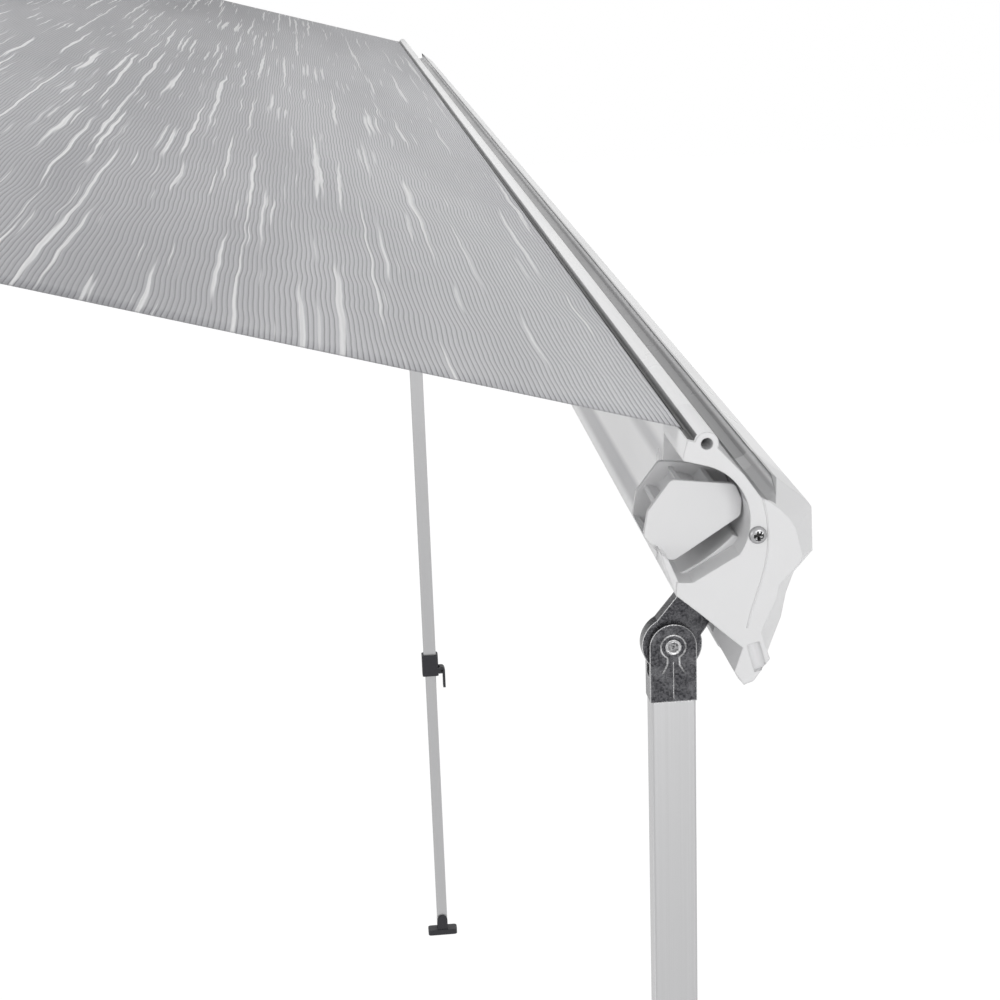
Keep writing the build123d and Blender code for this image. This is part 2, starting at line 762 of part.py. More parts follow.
def cap_front(depth):
    """Front of the cap: a ruled bevel from its face back to the full outline."""
    low = -half_rail
    face = rail_plane(low) * outline(cap_outline(True))
    full = rail_plane(low + depth) * outline(cap_outline(False))
    return loft([face, full], ruled=True)


def rail_end_cap():
    """Moulded end cap with the pocket for the docking block."""
    low = -half_rail
    tube_at = at_shares(tube_place_shares)
    full = outline(cap_outline(False))
    cap = cap_front(cap_bevel_depth)
    cap += between(rail_plane, low + cap_bevel_depth, low + cap_length, full)
    hollow = offset(full, -cap_wall, kind=Kind.INTERSECTION) - offset(pocket_shape(), cap_wall)
    hollow -= disc(screw_radius + cap_wall)
    for part in hollow.faces():
        cap -= between(rail_plane, low + cap_bevel_depth + cap_wall, low + cap_length + overrun, part)
    cap -= between(rail_plane, low - overrun, low + cap_length - cap_wall, pocket_shape())
    cap += between(rail_plane, low, low + cap_length, disc(bead_tube_radius, tube_at))
    cap -= between(rail_plane, low - overrun, low + cap_length + overrun, disc(bead_bore_radius, tube_at))
    cap -= between(rail_plane, low - overrun, low + cap_length + overrun, disc(screw_radius + running_gap))
    cap -= between(rail_plane, -fabric_half - overrun, low + cap_length + overrun, rod_room())
    groove_from = at_shares(screw_groove_shares)
    groove_way = Vector(screw_groove_run_shares[0] * rail_depth, screw_groove_run_shares[1] * rail_height, 0)
    groove_start = rail_at(*groove_from, low)
    groove_end = rail_at(groove_from[0] + groove_way.X, groove_from[1] + groove_way.Y, low)
    cap -= pin(groove_start, groove_end, screw_groove_radius)
    return cap.solids().sort_by(SortBy.VOLUME)[-1]


def rail_cap_screw():
    """Pan head screw that holds the end cap to the rail."""
    low = -half_rail
    shank = between(rail_plane, low, low + cap_length + screw_length, disc(screw_radius - running_gap))
    head = between(rail_plane, low - screw_head_height, low, disc(screw_head_radius))
    head = fillet(head.edges().sort_by(Axis.X)[0], screw_head_height / 2)
    return shank + head


def docking_block():
    """Faceted block that enters the cassette's guide when the awning closes."""
    low = -half_rail + block_near
    high = -half_rail + cap_length - cap_wall
    shape = outline([at_shares(point) for point in block_shares + block_low_shares])
    shape = fillet(shape.vertices(), block_corner)
    block = between(rail_plane, low, low + block_plate, shape)
    block += between(rail_plane, high - block_plate, high, shape)
    inside = offset(shape, -block_rib, kind=Kind.INTERSECTION)
    rim = shape - inside
    lower = box_face((-rail_height, -rail_height), (rail_height, at_shares(block_low_shares[2])[1]))
    centre = at_shares(block_hub_shares)
    hub = disc(2 * block_hex_radius, centre)
    spines = box_face((-rail_depth, centre[1] - block_rib / 2), (0, centre[1] + block_rib / 2))
    for turn in (60, 120):
        spines += Pos(*centre) * Rot(0, 0, turn) * Rectangle(2 * rail_depth, block_rib)
    ribs = ((spines & inside) + hub + (rim & lower)) & shape
    ribs -= Pos(*centre) * RegularPolygon(block_hex_radius, 6)
    for part in ribs.faces():
        block += between(rail_plane, low + block_plate, high - block_plate, part)
    return block


def docking_guide():
    """Two ledges inside the cassette that the docking block slides between."""
    low = -half_rail + block_near
    high = -half_rail + cap_length - cap_wall
    floor = case_bottom + case_wall
    depth = case_sill_depth - 5 * case_wall
    foot = box_face((depth - guide_reach, floor), (depth, floor + base_plate))
    cheek = box_face((depth - guide_reach, floor), (depth - guide_reach + base_plate, floor + guide_height))
    return between(wall_plane, low, high, foot + cheek)


def side_plane(x):
    """Upright plane across the rail at x, level with the ground: its x runs to the wall."""
    return Plane(origin=(x, rail_zero.Y, rail_zero.Z), x_dir=(0, 1, 0), z_dir=(1, 0, 0))


def rail_level(inward, down, x):
    """World place from a distance towards the wall and a drop below the rail's zero."""
    return Vector(x, rail_zero.Y + inward, rail_zero.Z - down)


def slab(x, thickness, face):
    """Solid of an upright section, centred on x."""
    return extrude(side_plane(x) * face, thickness / 2, both=True)


def level_below(place):
    """How far a point of the rail's section lies below its zero."""
    return place[0] * slope_sin - place[1] * slope_cos


roof_down = max(level_below(at_shares(wall_foot_shares)), level_below(at_shares(roof_end_shares)))
pivot = (pivot_in, -pivot_down)
leg_pin = (leg_pin_in, -leg_pin_down)
stem_way = Vector(leg_pin_in - pivot_in, pivot_down - leg_pin_down, 0).normalized()
stem_side = Vector(-stem_way.Y, stem_way.X, 0)
leg_x = -leg_place
tube_top_down = leg_pin_down + clevis_drop
tube_end_down = tube_top_down + leg_outer_length


def leg_lug():
    """Lug on the roof of the leg channel that the knuckle swings on."""
    top = roof_down + seat_gap
    barrel = pin(rail_level(pivot_in - lug_width / 2, pivot_down, leg_x),
                 rail_level(pivot_in + lug_width / 2, pivot_down, leg_x), knuckle_eye_radius)
    neck = Box(lug_neck, lug_width, pivot_down - top)
    neck = Pos(*rail_level(pivot_in, (pivot_down + top) / 2, leg_x)) * neck
    plate = Box(2 * (leg_gap + leg_thickness / 2 - seat_gap), 3 * lug_width, base_plate)
    plate = Pos(*rail_level(pivot_in, top + base_plate / 2, leg_x)) * plate
    lug = barrel + neck + plate
    lug -= pin(rail_level(pivot_in - lug_width, pivot_down, leg_x),
               rail_level(pivot_in + lug_width, pivot_down, leg_x), hinge_pin_radius)
    return lug


def leg_hinge_pin():
    """Pin that the knuckle swings on, along the way to the wall."""
    half = knuckle_fork_width / 2
    return pin(rail_level(pivot_in - half, pivot_down, leg_x),
               rail_level(pivot_in + half, pivot_down, leg_x), hinge_pin_radius)


def leg_knuckle():
    """Cast link between the rail's lug and the leg's pin."""
    half = stem_width / 2
    top = Vector(pivot[0], pivot[1], 0)
    foot = Vector(leg_pin[0], leg_pin[1], 0)
    near = foot + stem_side * (hub_radius - overrun)
    corners = [top + stem_side * half, near, foot - stem_side * half, top - stem_side * half]
    stem = outline([(corner.X, corner.Y) for corner in corners])
    body = slab(leg_x, tongue_thickness, stem + disc(hub_radius, leg_pin))
    fork = pin(rail_level(pivot_in - knuckle_fork_width / 2, pivot_down, leg_x),
               rail_level(pivot_in + knuckle_fork_width / 2, pivot_down, leg_x), knuckle_eye_radius)
    body += fork
    slot = pin(rail_level(pivot_in - lug_width / 2 - seat_gap, pivot_down, leg_x),
               rail_level(pivot_in + lug_width / 2 + seat_gap, pivot_down, leg_x),
               knuckle_eye_radius + 2 * seat_gap)
    body -= slot
    body -= pin(rail_level(pivot_in - knuckle_fork_width, pivot_down, leg_x),
                rail_level(pivot_in + knuckle_fork_width, pivot_down, leg_x),
                hinge_pin_radius + running_gap)
    body -= slab(leg_x, 2 * leg_thickness, disc(leg_pin_radius, leg_pin))
    return body.solids().sort_by(SortBy.VOLUME)[-1]


def leg_pin_piece():
    """Pin of the clevis, with its head towards the end of the rail."""
    shank = slab(leg_x, leg_thickness, disc(leg_pin_radius, leg_pin))
    head = extrude(side_plane(leg_x + leg_thickness / 2) * disc(leg_pin_head, leg_pin), pin_head_height)
    tail = extrude(side_plane(leg_x - leg_thickness / 2) * disc(leg_pin_head, leg_pin), -pin_head_height)
    return shank + head + tail


def leg_clevis():
    """Cast fork at the top of the leg, with the plug that fills the leg's tube."""
    cheek = disc(clevis_radius, leg_pin)
    cheek += box_face((leg_pin[0] - clevis_radius, leg_pin[1] - clevis_drop),
                      (leg_pin[0] + clevis_radius, leg_pin[1]))
    body = slab(leg_x, leg_thickness, cheek)
    slot = box_face((leg_pin[0] - 2 * clevis_radius, leg_pin[1] - clevis_slot_drop),
                    (leg_pin[0] + 2 * clevis_radius, leg_pin[1] + 2 * clevis_radius))
    body -= slab(leg_x, tongue_thickness + 2 * seat_gap, slot)
    body -= slab(leg_x, 2 * leg_thickness, disc(leg_pin_radius + running_gap, leg_pin))
    inset = 2 * (leg_wall + seat_gap)
    plug = Box(leg_thickness - inset, leg_width - inset, clevis_plug)
    return body + Pos(*rail_level(leg_pin_in, tube_top_down + clevis_plug / 2, leg_x)) * plug


def upright_tube(width, thickness, wall, corner, top_down, length):
    """Hollow leg section hanging from a level below the rail's zero."""
    ring = RectangleRounded(thickness, width, corner)
    ring -= RectangleRounded(thickness - 2 * wall, width - 2 * wall, corner / 2)
    place = rail_level(leg_pin_in, top_down, leg_x)
    return extrude(Plane(origin=place) * ring, -length)


def leg_outer_tube():
    return upright_tube(leg_width, leg_thickness, leg_wall, leg_corner, tube_top_down, leg_outer_length)


collar_foot_down = tube_end_down + collar_height / 2
foot_pin_down = collar_foot_down + leg_show_length


def leg_inner_tube():
    """Inner tube that slides in the outer one, with the holes of the foot's pin."""
    top = foot_pin_down + foot_pin_radius * 3 - leg_inner_length
    tube = upright_tube(leg_inner_width, leg_inner_thickness, leg_wall, leg_corner, top, leg_inner_length)
    return tube - pin(rail_level(leg_pin_in, foot_pin_down, leg_x - leg_thickness),
                      rail_level(leg_pin_in, foot_pin_down, leg_x + leg_thickness),
                      foot_pin_radius + running_gap)


lever_out = leg_width / 2 + collar_wall + cam_radius
lever_down = collar_foot_down - cam_radius - collar_wall


def leg_collar():
    """Moulded collar at the end of the outer tube, with the ears of its clamp lever."""
    middle = rail_level(leg_pin_in, tube_end_down, leg_x)
    body = Box(leg_thickness + 2 * collar_wall, leg_width + 2 * collar_wall, collar_height)
    body = Pos(*middle) * fillet(body.edges().filter_by(Axis.Z), collar_wall)
    ear = pin(rail_level(leg_pin_in - lever_out, lever_down, leg_x - leg_thickness / 2 - collar_wall),
              rail_level(leg_pin_in - lever_out, lever_down, leg_x + leg_thickness / 2 + collar_wall),
              cam_radius - overrun)
    root = Box(leg_thickness + 2 * collar_wall, 2 * cam_radius, 2 * (cam_radius - overrun))
    root = Pos(*rail_level(leg_pin_in - lever_out + cam_radius, lever_down, leg_x)) * root
    body = body + ear + root
    gap = Box(lever_width + 2 * seat_gap, 2 * cam_radius + 2 * overrun, 4 * cam_radius)
    body -= Pos(*rail_level(leg_pin_in - lever_out, lever_down, leg_x)) * gap
    upper = Box(leg_thickness + 2 * running_gap, leg_width + 2 * running_gap, collar_height / 2)
    body -= Pos(*rail_level(leg_pin_in, tube_end_down - collar_height / 4, leg_x)) * upper
    lower = Box(leg_inner_thickness + 2 * seat_gap, leg_inner_width + 2 * seat_gap, 2 * collar_height)
    body -= Pos(*middle) * lower
    return body - lever_pin_bore(lever_pin_radius)


def lever_pin_bore(radius):
    half = leg_thickness / 2 + collar_wall
    return pin(rail_level(leg_pin_in - lever_out, lever_down, leg_x - half),
               rail_level(leg_pin_in - lever_out, lever_down, leg_x + half), radius)


def leg_lever():
    """Clamp lever with its cam, hanging closed along the leg."""
    cam = pin(rail_level(leg_pin_in - lever_out, lever_down, leg_x - lever_width / 2),
              rail_level(leg_pin_in - lever_out, lever_down, leg_x + lever_width / 2),
              cam_radius - seat_gap)
    handle = Box(lever_width, lever_thickness, lever_length)
    handle = fillet(handle.edges().filter_by(Axis.Y), lever_thickness / 2)
    place = rail_level(leg_pin_in - lever_out - cam_radius + lever_thickness / 2 + seat_gap,
                       lever_down + lever_length / 2, leg_x)
    lever = cam + Pos(*place) * handle
    return lever - lever_pin_bore(lever_pin_radius + running_gap)


def leg_foot():
    """Foot plate with two ears on the pin at the end of the inner tube."""
    ear_half = leg_inner_thickness / 2 + seat_gap
    ear = foot_neck / 2
    plate_down = foot_pin_down + foot_neck
    place = rail_level(leg_pin_in, plate_down + foot_height / 2, leg_x)
    plate = Box(foot_width, foot_length, foot_height)
    plate = fillet(plate.edges().filter_by(Axis.Z), foot_height / 2)
    foot = Pos(*place) * plate
    for side in (-1, 1):
        x = leg_x + side * (ear_half + collar_wall / 2)
        face = disc(ear, (leg_pin_in, -foot_pin_down))
        face += box_face((leg_pin_in - ear, -plate_down), (leg_pin_in + ear, -foot_pin_down))
        foot += slab(x, collar_wall, face)
    foot += pin(rail_level(leg_pin_in, foot_pin_down, leg_x - ear_half),
                rail_level(leg_pin_in, foot_pin_down, leg_x + ear_half), foot_pin_radius)
    return foot


def fabric_line(lift):
    """Line of the fabric from the roller to the rail's slot, in the wall frame."""
    start = Vector(roller_depth + (winding_radius + lift) * slope_sin,
                   roller_height + (winding_radius + lift) * slope_cos, 0)
    end_at = rail_at(slot_side_share * rail_depth, wall_tip_shares[1] * rail_height + fabric_rise)
    end = Vector(-end_at.Y + lift * slope_sin, end_at.Z + lift * slope_cos, 0)
    middle = (start + end) / 2 + Vector(-fabric_sag * slope_sin, -fabric_sag * slope_cos, 0)
    return [(point.X, point.Y) for point in (start, middle, end)]


def fabric_sheet():
    """The stretched fabric, sagging a little between the roller and the rail."""
    top = fabric_line(seat_gap + fabric_thickness)
    low = fabric_line(seat_gap)
    edges = [ThreePointArc(*top), Line(top[2], low[2]), ThreePointArc(*low), Line(low[0], top[0])]
    sheet = between(wall_plane, -fabric_half, fabric_half, make_face(edges))
    slot_at = slot_side_share * rail_depth
    rod_top = at_shares(rod_place_shares)[1] + rod_radius
    tail = box_face((slot_at - fabric_thickness / 2, rod_top),
                    (slot_at + fabric_thickness / 2, wall_tip_shares[1] * rail_height + fabric_rise + seat_gap))
    return sheet + between(rail_plane, -fabric_half, fabric_half, tail)


def bead_rod():
    """Round rod in the rail's groove that holds the edge of the fabric."""
    return between(rail_plane, -fabric_half, fabric_half, disc(rod_radius, at_shares(rod_place_shares)))


def both_ends(solids):
    """A list of solids and their mirror images."""
    return list(solids) + [mirrored(solid) for solid in solids]


def paired(name, part):
    """The left piece and its mirror image, as two nodes."""
    return {f"{name}_left": part, f"{name}_right": mirrored(part)}


pin_half = eye_half_height + seat_gap + ear_thickness
bracket_places = (-bracket_spread, 0, bracket_spread)
nodes = {
    "wall_brackets": [wall_bracket(x) for x in bracket_places],
    "case_screws": [lock_screw(x) for x in bracket_places] + both_ends(case_cap_screws() + shoulder_screws()),
    "cassette": cassette(),
    "case_end_cap_left": case_end_cap(),
    "case_end_cap_right": case_cap_right(),
    "docking_guides": both_ends([docking_guide()]),
    "shoulder_brackets": both_ends([shoulder_bracket()]),
    "shoulder_pins": both_ends([joint_pin(shoulder, pin_half)]),
    "roller_bush": roller_bush(),
    "roller_tube": roller_tube(),
    "roller_plug_left": roller_plug_left(),
    "roller_plug_right": roller_plug_right(),
    "fabric_winding": fabric_winding(),
    "gearbox_housing": gearbox_housing(),
    "worm_wheel": worm_wheel(),
    "crank_shaft": crank_shaft(),
    "front_rail": front_rail(),
    "rail_cap_screws": both_ends([rail_cap_screw()]),
    "docking_blocks": both_ends([docking_block()]),
    "bead_rod": bead_rod(),
    "fabric_sheet": fabric_sheet(),
    "wrist_brackets": both_ends([wrist_bracket()]),
    "wrist_pins": both_ends([joint_pin(wrist, pin_half)]),
    "leg_lugs": both_ends([leg_lug()]),
    "leg_hinge_pins": both_ends([leg_hinge_pin()]),
}
nodes |= paired("upper_arm_tube", arm_tube(upper_frame, upper_reach, upper_arm_width, upper_arm_height))
nodes |= paired("upper_arm_shoulder_end", arm_inner_end(upper_frame, upper_arm_width, upper_arm_height))
nodes |= paired("upper_arm_elbow_end", upper_arm_elbow_end())
nodes |= paired("arm_spring", arm_spring())
nodes |= paired("elbow_pin", joint_pin(elbow, pin_half))
nodes |= paired("forearm_tube", arm_tube(fore_frame, fore_reach, forearm_width, forearm_height))
nodes |= paired("forearm_elbow_end", forearm_elbow_end())
nodes |= paired("forearm_wrist_end", arm_inner_end(fore_frame, forearm_width, forearm_height))
nodes |= paired("rail_end_cap", rail_end_cap())
nodes |= paired("leg_knuckle", leg_knuckle())
nodes |= paired("leg_pin", leg_pin_piece())
nodes |= paired("leg_clevis", leg_clevis())
nodes |= paired("leg_outer_tube", leg_outer_tube())
nodes |= paired("leg_collar", leg_collar())
nodes |= paired("leg_lever", leg_lever())
nodes |= paired("leg_inner_tube", leg_inner_tube())
nodes |= paired("leg_foot", leg_foot())

for name, shape in nodes.items():
    whole = Compound(children=list(shape)) if isinstance(shape, list) else shape
    export_step(whole, f"parts/{name}.step")
print(len(nodes), "nodes")
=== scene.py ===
"""Looks of the roll out awning: finishes for its CAD pieces and a modelled cloth.

Places come from the frame in metres: +Z up, X along the width, the wall at Y = 0 and the awning
reaching towards -Y.  The picture shows the left end of the front rail from just outside it.
"""
from math import pi

import bmesh
import bpy
import numpy as np
from mathutils import Matrix, Vector


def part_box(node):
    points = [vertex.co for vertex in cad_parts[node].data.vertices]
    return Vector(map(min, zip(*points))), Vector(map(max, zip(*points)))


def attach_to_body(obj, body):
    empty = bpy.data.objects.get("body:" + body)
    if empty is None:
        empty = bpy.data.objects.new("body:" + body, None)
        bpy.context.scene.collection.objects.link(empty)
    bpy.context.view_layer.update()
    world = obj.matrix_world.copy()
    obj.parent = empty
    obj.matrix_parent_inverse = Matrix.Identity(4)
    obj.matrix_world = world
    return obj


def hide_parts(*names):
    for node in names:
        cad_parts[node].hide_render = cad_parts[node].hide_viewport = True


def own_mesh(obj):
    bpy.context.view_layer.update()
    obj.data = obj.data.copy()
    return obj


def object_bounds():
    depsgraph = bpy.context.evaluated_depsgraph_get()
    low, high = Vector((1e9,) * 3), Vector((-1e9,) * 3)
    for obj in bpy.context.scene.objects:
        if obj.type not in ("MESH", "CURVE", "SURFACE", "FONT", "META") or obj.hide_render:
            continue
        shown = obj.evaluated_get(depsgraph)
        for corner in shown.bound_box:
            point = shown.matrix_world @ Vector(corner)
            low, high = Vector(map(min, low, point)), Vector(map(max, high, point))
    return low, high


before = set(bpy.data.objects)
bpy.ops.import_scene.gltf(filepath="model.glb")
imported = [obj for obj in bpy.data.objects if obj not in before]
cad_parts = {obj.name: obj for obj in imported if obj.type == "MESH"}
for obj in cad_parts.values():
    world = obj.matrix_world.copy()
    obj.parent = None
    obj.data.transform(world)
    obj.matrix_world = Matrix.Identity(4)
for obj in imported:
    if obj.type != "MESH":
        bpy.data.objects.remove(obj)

cad_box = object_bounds()

# Places read from the frame
screw_low, screw_high = (Vector(corner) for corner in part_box("rail_cap_screws"))
sheet_low, sheet_high = (Vector(corner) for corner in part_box("fabric_sheet"))
winding_low, winding_high = (Vector(corner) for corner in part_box("fabric_winding"))
floor_height = cad_box[0][2]
cap_low, cap_high = (Vector(corner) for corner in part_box("rail_end_cap_left"))

# Pan head screw of the end cap, whose head's foot is the zero of the rail's section
screw_head = 0.0026
screw_head_radius = 0.00475
screw_head_power = 2.6
screw_shank_radius = 0.00235
screw_length = 0.078
screw_tip = 0.002
rail_end = Vector((screw_low.x + screw_head,
                   (screw_low.y + screw_high.y) / 2, (screw_low.z + screw_high.z) / 2))

# Slope of the fabric and of the front rail
pitch = np.radians(15.4)
down_slope = Vector((0, -np.cos(pitch), -np.sin(pitch)))
off_slope = Vector((0, -np.sin(pitch), np.cos(pitch)))

# Camera of the photograph, from the end cap's screw, and its 36 mm wide frame
camera_from_screw = Vector((-0.9693, 0.2189, 0.3233))
camera_right = Vector((-0.0982, -0.9946, -0.0343))
camera_up = Vector((0.2864, -0.0613, 0.9561))
focal_length = 72
sensor_width = 36

# Front rail's section, down the slope and above it from the end cap's screw
slot_along = -0.0471
# slot_from and slot_to bound a near black strip of painted shade in the slot beside the bead tube
slot_from = -0.049
slot_to = -0.0443
rod_above = 0.0353
tip_above = 0.04125
gutter_from = -0.0325
gutter_to = 0.0056
gutter_floor = 0.014
# Painted shade in the concave gutter: darker grey along the rail, lighter grey over its last stretch and
# in the end caps
gutter_shade_grey = 0.22
gutter_end_shade_grey = 0.4
gutter_end_length = 0.021
wall_to = -0.031
# Heights of two soft bands of painted shade along the rail's wall
low_shade_band = (-0.037, -0.015)
high_shade_band = (0.008, 0.027)

# Round pieces: points round a bead's section and a turned piece, and along a bead
bead_sides = 12
turned_sides = 120
bead_steps = 80

# Details of the end cap and of the leg's clevis
face_bead = 0.00055
bead_points = [(-0.0026, 0.0194), (0.0021, 0.0103), (0.0078, -0.0103), (0.0084, -0.0291),
               (0.0078, -0.0444), (0.0083, -0.0506)]
blade_points = [(-0.0471, -0.0203), (-0.0421, -0.0231), (-0.034, -0.0335), (-0.031, -0.0365),
                (-0.032, -0.0419), (-0.0336, -0.0409), (-0.0435, -0.0265)]
blade_inset = 0.0006
blade_length = 0.015
moulding_edge = 0.0004
pad_arc = [(-0.033, -0.035), (-0.019, -0.0223), (-0.008, -0.0068)]
pad_foot = [(-0.0024, -0.0083), (-0.031, -0.0366)]
pad_from = 0.016
pad_to = 0.0555
recess_arm = 0.0029
recess_width = 0.0015
recess_depth = 0.0017
recess_turn = np.radians(25)
recess_side_slope = 0.0002
recess_end_slope = 0.0004
rib_radius = 0.0007
key_radius = 0.007
key_opening = 0.5
key_neck = (0.0034, -0.0105)
key_foot = (0.0062, -0.0155)
parting_radius = 0.0003
parting_from = -0.0085
parting_above_foot = 0.0275
pin_radius = 0.0032
pin_head = [(0.0004, 0), (0.0004, 0.0007), (0.0011, 0.0009), (0.0012, 0.0016), (0.0009, 0.0024),
            (0.0004, 0.0027), (0.0004, 0.0038), (0.0008, 0.0041), (0.0008, 0.0045), (0, 0.0048)]

# Cloth
cloth_thickness = 0.0005
cloth_wave = 0.0011
wave_turn_across = 9.0
wave_turn_down = 3.0
cloth_above_tip = 0.0007
cloth_bend = 0.0021
cloth_tuck_gap = 0.0002
cloth_tail_below_tip = 0.002
cloth_tail_above_rod = 0.0004
cloth_rib = 0.0029
cloth_hem = 0.0012
cloth_thread_across = 0.0016
cloth_thread_down = 0.004
cloth_drift = 0.007
# Painted light and shade on the cloth: its lighter tone rises between these distances down from the
# roller
cloth_lit_from = 1.5
cloth_lit_to = 1.93
cloth_columns = 140
cloth_rows = 420
roll_turns = 3
roll_step = 0.0006
roll_sides = 72
roll_columns = 40

# Studio: lamps from the end cap's screw, with their size in metres and their power in watts
floor_reach = 14
floor_glow = 1.1
floor_shown_share = 0.9
sky_light = 0.5
lamps = [
    ("key_lamp", (-2.7, -0.7, 0.3), 1.8, 31),
    ("side_lamp", (-1.6, 2.4, 0.4), 1.4, 8),
    ("low_lamp", (0.6, 1.6, -1.6), 1.6, 4),
    ("top_lamp", (1.3, 1.5, 2.2), 2.0, 34),
]


class Shade:
    """A shader socket that maths can be written with."""

    def __init__(self, tree, socket=None):
        self.tree = tree
        self.socket = socket

    def node(self, kind, inputs=(), out=0, **settings):
        """Any node: its settings are set first, then the values or links of its sockets."""
        made = self.tree.nodes.new("ShaderNode" + kind)
        stops = settings.pop("stops", None)
        for name, value in settings.items():
            setattr(made, name, value)
        if stops:
            ramp = made.color_ramp.elements
            while len(ramp) < len(stops):
                ramp.new(0.5)
            for element, (place, colour) in zip(ramp, stops):
                element.position = place
                element.color = colour
        for name, value in dict(inputs).items():
            if isinstance(value, Shade):
                self.tree.links.new(value.socket, made.inputs[name])
            else:
                made.inputs[name].default_value = value
        return Shade(self.tree, made.outputs[out])

    def math(self, operation, *values):
        """A Math node on this socket and other values."""
        return self.node("Math", dict(enumerate((self, *values))), operation=operation)

    def __add__(self, other):
        return self.math("ADD", other)

    def __sub__(self, other):
        return self.math("SUBTRACT", other)

    def __rsub__(self, other):
        return self.node("Math", {0: other, 1: self}, operation="SUBTRACT")

    def __mul__(self, other):
        return self.math("MULTIPLY", other)

    def band(self, low, high):
        """0 below low, 1 above high, and a smooth step between."""
        return self.node("MapRange", {"Value": self, "From Min": low, "From Max": high},
                         interpolation_type="SMOOTHSTEP")


def mix_colour(factor, first, second):
    """Colour that goes from the first to the second as the factor goes from 0 to 1."""
    return factor.node("Mix", {0: factor, 6: first, 7: second}, out=2, data_type="RGBA")


def grey(value, blue=0.0):
    """Opaque grey, a little bluer where asked."""
    return (value, value, value + blue, 1)


def new_material(name):
    """Empty material: its tree, its shading node and its output."""
    material = bpy.data.materials.new(name)
    material.use_nodes = True
    tree = material.node_tree
    tree.nodes.clear()
    shader = tree.nodes.new("ShaderNodeBsdfPrincipled")
    output = tree.nodes.new("ShaderNodeOutputMaterial")
    tree.links.new(shader.outputs[0], output.inputs[0])
    return material, tree, shader


def finish(tree, shader, values):
    """Puts numbers and links on the shading node's sockets."""
    for name, value in values.items():
        if isinstance(value, Shade):
            tree.links.new(value.socket, shader.inputs[name])
        else:
            shader.inputs[name].default_value = value


def object_place(tree, scale=(1, 1, 1)):
    """Object coordinates, stretched by a scale."""
    start = Shade(tree)
    place = start.node("TexCoord", out=3)
    return place.node("Mapping", {"Vector": place, "Scale": scale})


def rail_place(tree):
    """How far a point lies down the slope and above it, from the end cap's screw."""
    place = object_place(tree)
    offset = place.node("VectorMath", {0: place, 1: (0, rail_end.y, rail_end.z)}, operation="SUBTRACT")
    along = offset.node("VectorMath", {0: offset, 1: down_slope}, out=1, operation="DOT_PRODUCT")
    above = offset.node("VectorMath", {0: offset, 1: off_slope}, out=1, operation="DOT_PRODUCT")
    return place, along, above


def edge_wear_and_highlight(tree, radius):
    """0 on flat stretches, rising to 1 on edges sharper than a radius."""
    start = Shade(tree)
    flat = start.node("NewGeometry", out=1)
    rounded = soft_edges(tree, radius)
    same = start.node("VectorMath", {0: flat, 1: rounded}, out=1, operation="DOT_PRODUCT")
    return (1 - same).band(0.01, 0.12)


def noise(place, scale, detail):
    """Fractal noise between 0 and 1."""
    return place.node("TexNoise", {"Vector": place, "Scale": scale, "Detail": detail})


def stretched_noise(place, scale, detail, shift=(0, 0, 0)):
    """Fractal noise, finer the larger its scale along an axis, and moved by a shift."""
    moved = place.node("Mapping", {"Vector": place, "Location": shift, "Scale": scale})
    return noise(moved, 1.0, detail)


def soft_edges(tree, radius):
    """Normal that rounds every sharp edge by a radius."""
    return Shade(tree).node("Bevel", {"Radius": radius}, samples=6)


def bumped(height, strength, distance, normal=None):
    """Normal raised by a height map."""
    inputs = {"Height": height, "Strength": strength, "Distance": distance}
    if normal:
        inputs["Normal"] = normal
    return height.node("Bump", inputs)


def face_normal(tree):
    """Smooth normal, and the face's own where the two lean far apart, as on a flat wall's slivers."""
    start = Shade(tree)
    smooth = start.node("NewGeometry", out=1)
    flat = start.node("NewGeometry", out=3)
    same = start.node("VectorMath", {0: smooth, 1: flat}, out=1, operation="DOT_PRODUCT")
    lean = 1 - same.band(0.93, 0.97)
    return lean.node("Mix", {0: lean, 4: smooth, 5: flat}, out=1, data_type="VECTOR")


def powder_coat(name, colour, painted_shade=None):
    """White powder coat on aluminium: fine orange peel, faint dust and any given painted shade."""
    material, tree, shader = new_material(name)
    place = object_place(tree)
    peel = noise(place, scale=900.0, detail=2.0)
    dust = noise(place, scale=6.0, detail=5.0).band(0.35, 0.75)
    coat = mix_colour(dust, grey(colour, 0.005), grey(colour * 0.965, 0.003))
    if painted_shade:
        coat = painted_shade(tree, coat)
    finish(tree, shader, {
        "Base Color": coat,
        "Roughness": dust * 0.08 + 0.26,
        "Coat Weight": 0.25,
        "Coat Roughness": 0.15,
        "Normal": bumped(peel, strength=0.08, distance=0.0002, normal=face_normal(tree)),
    })
    return material


def between_bands(value, low, high, soft):
    """1 between two values and 0 outside them, with soft sides."""
    return value.band(low, low + soft) * (1 - value.band(high - soft, high))


def from_end(place):
    """How far a point lies in from the nearer end of the awning."""
    across = place.node("SeparateXYZ", {"Vector": place}).math("ABSOLUTE")
    return -cap_low.x - across


def gutter_mask(along, above):
    """1 in the rain gutter and 0 elsewhere."""
    inside = between_bands(along, gutter_from, gutter_to, 0.001)
    return inside * above.band(gutter_floor, gutter_floor + 0.002)


def slot_shade_mask(along, above):
    """1 in the slot that the cloth enters, where the shade is painted, and 0 elsewhere."""
    return between_bands(along, slot_from, slot_to, 0.0003) * above.band(rod_above, rod_above + 0.001)


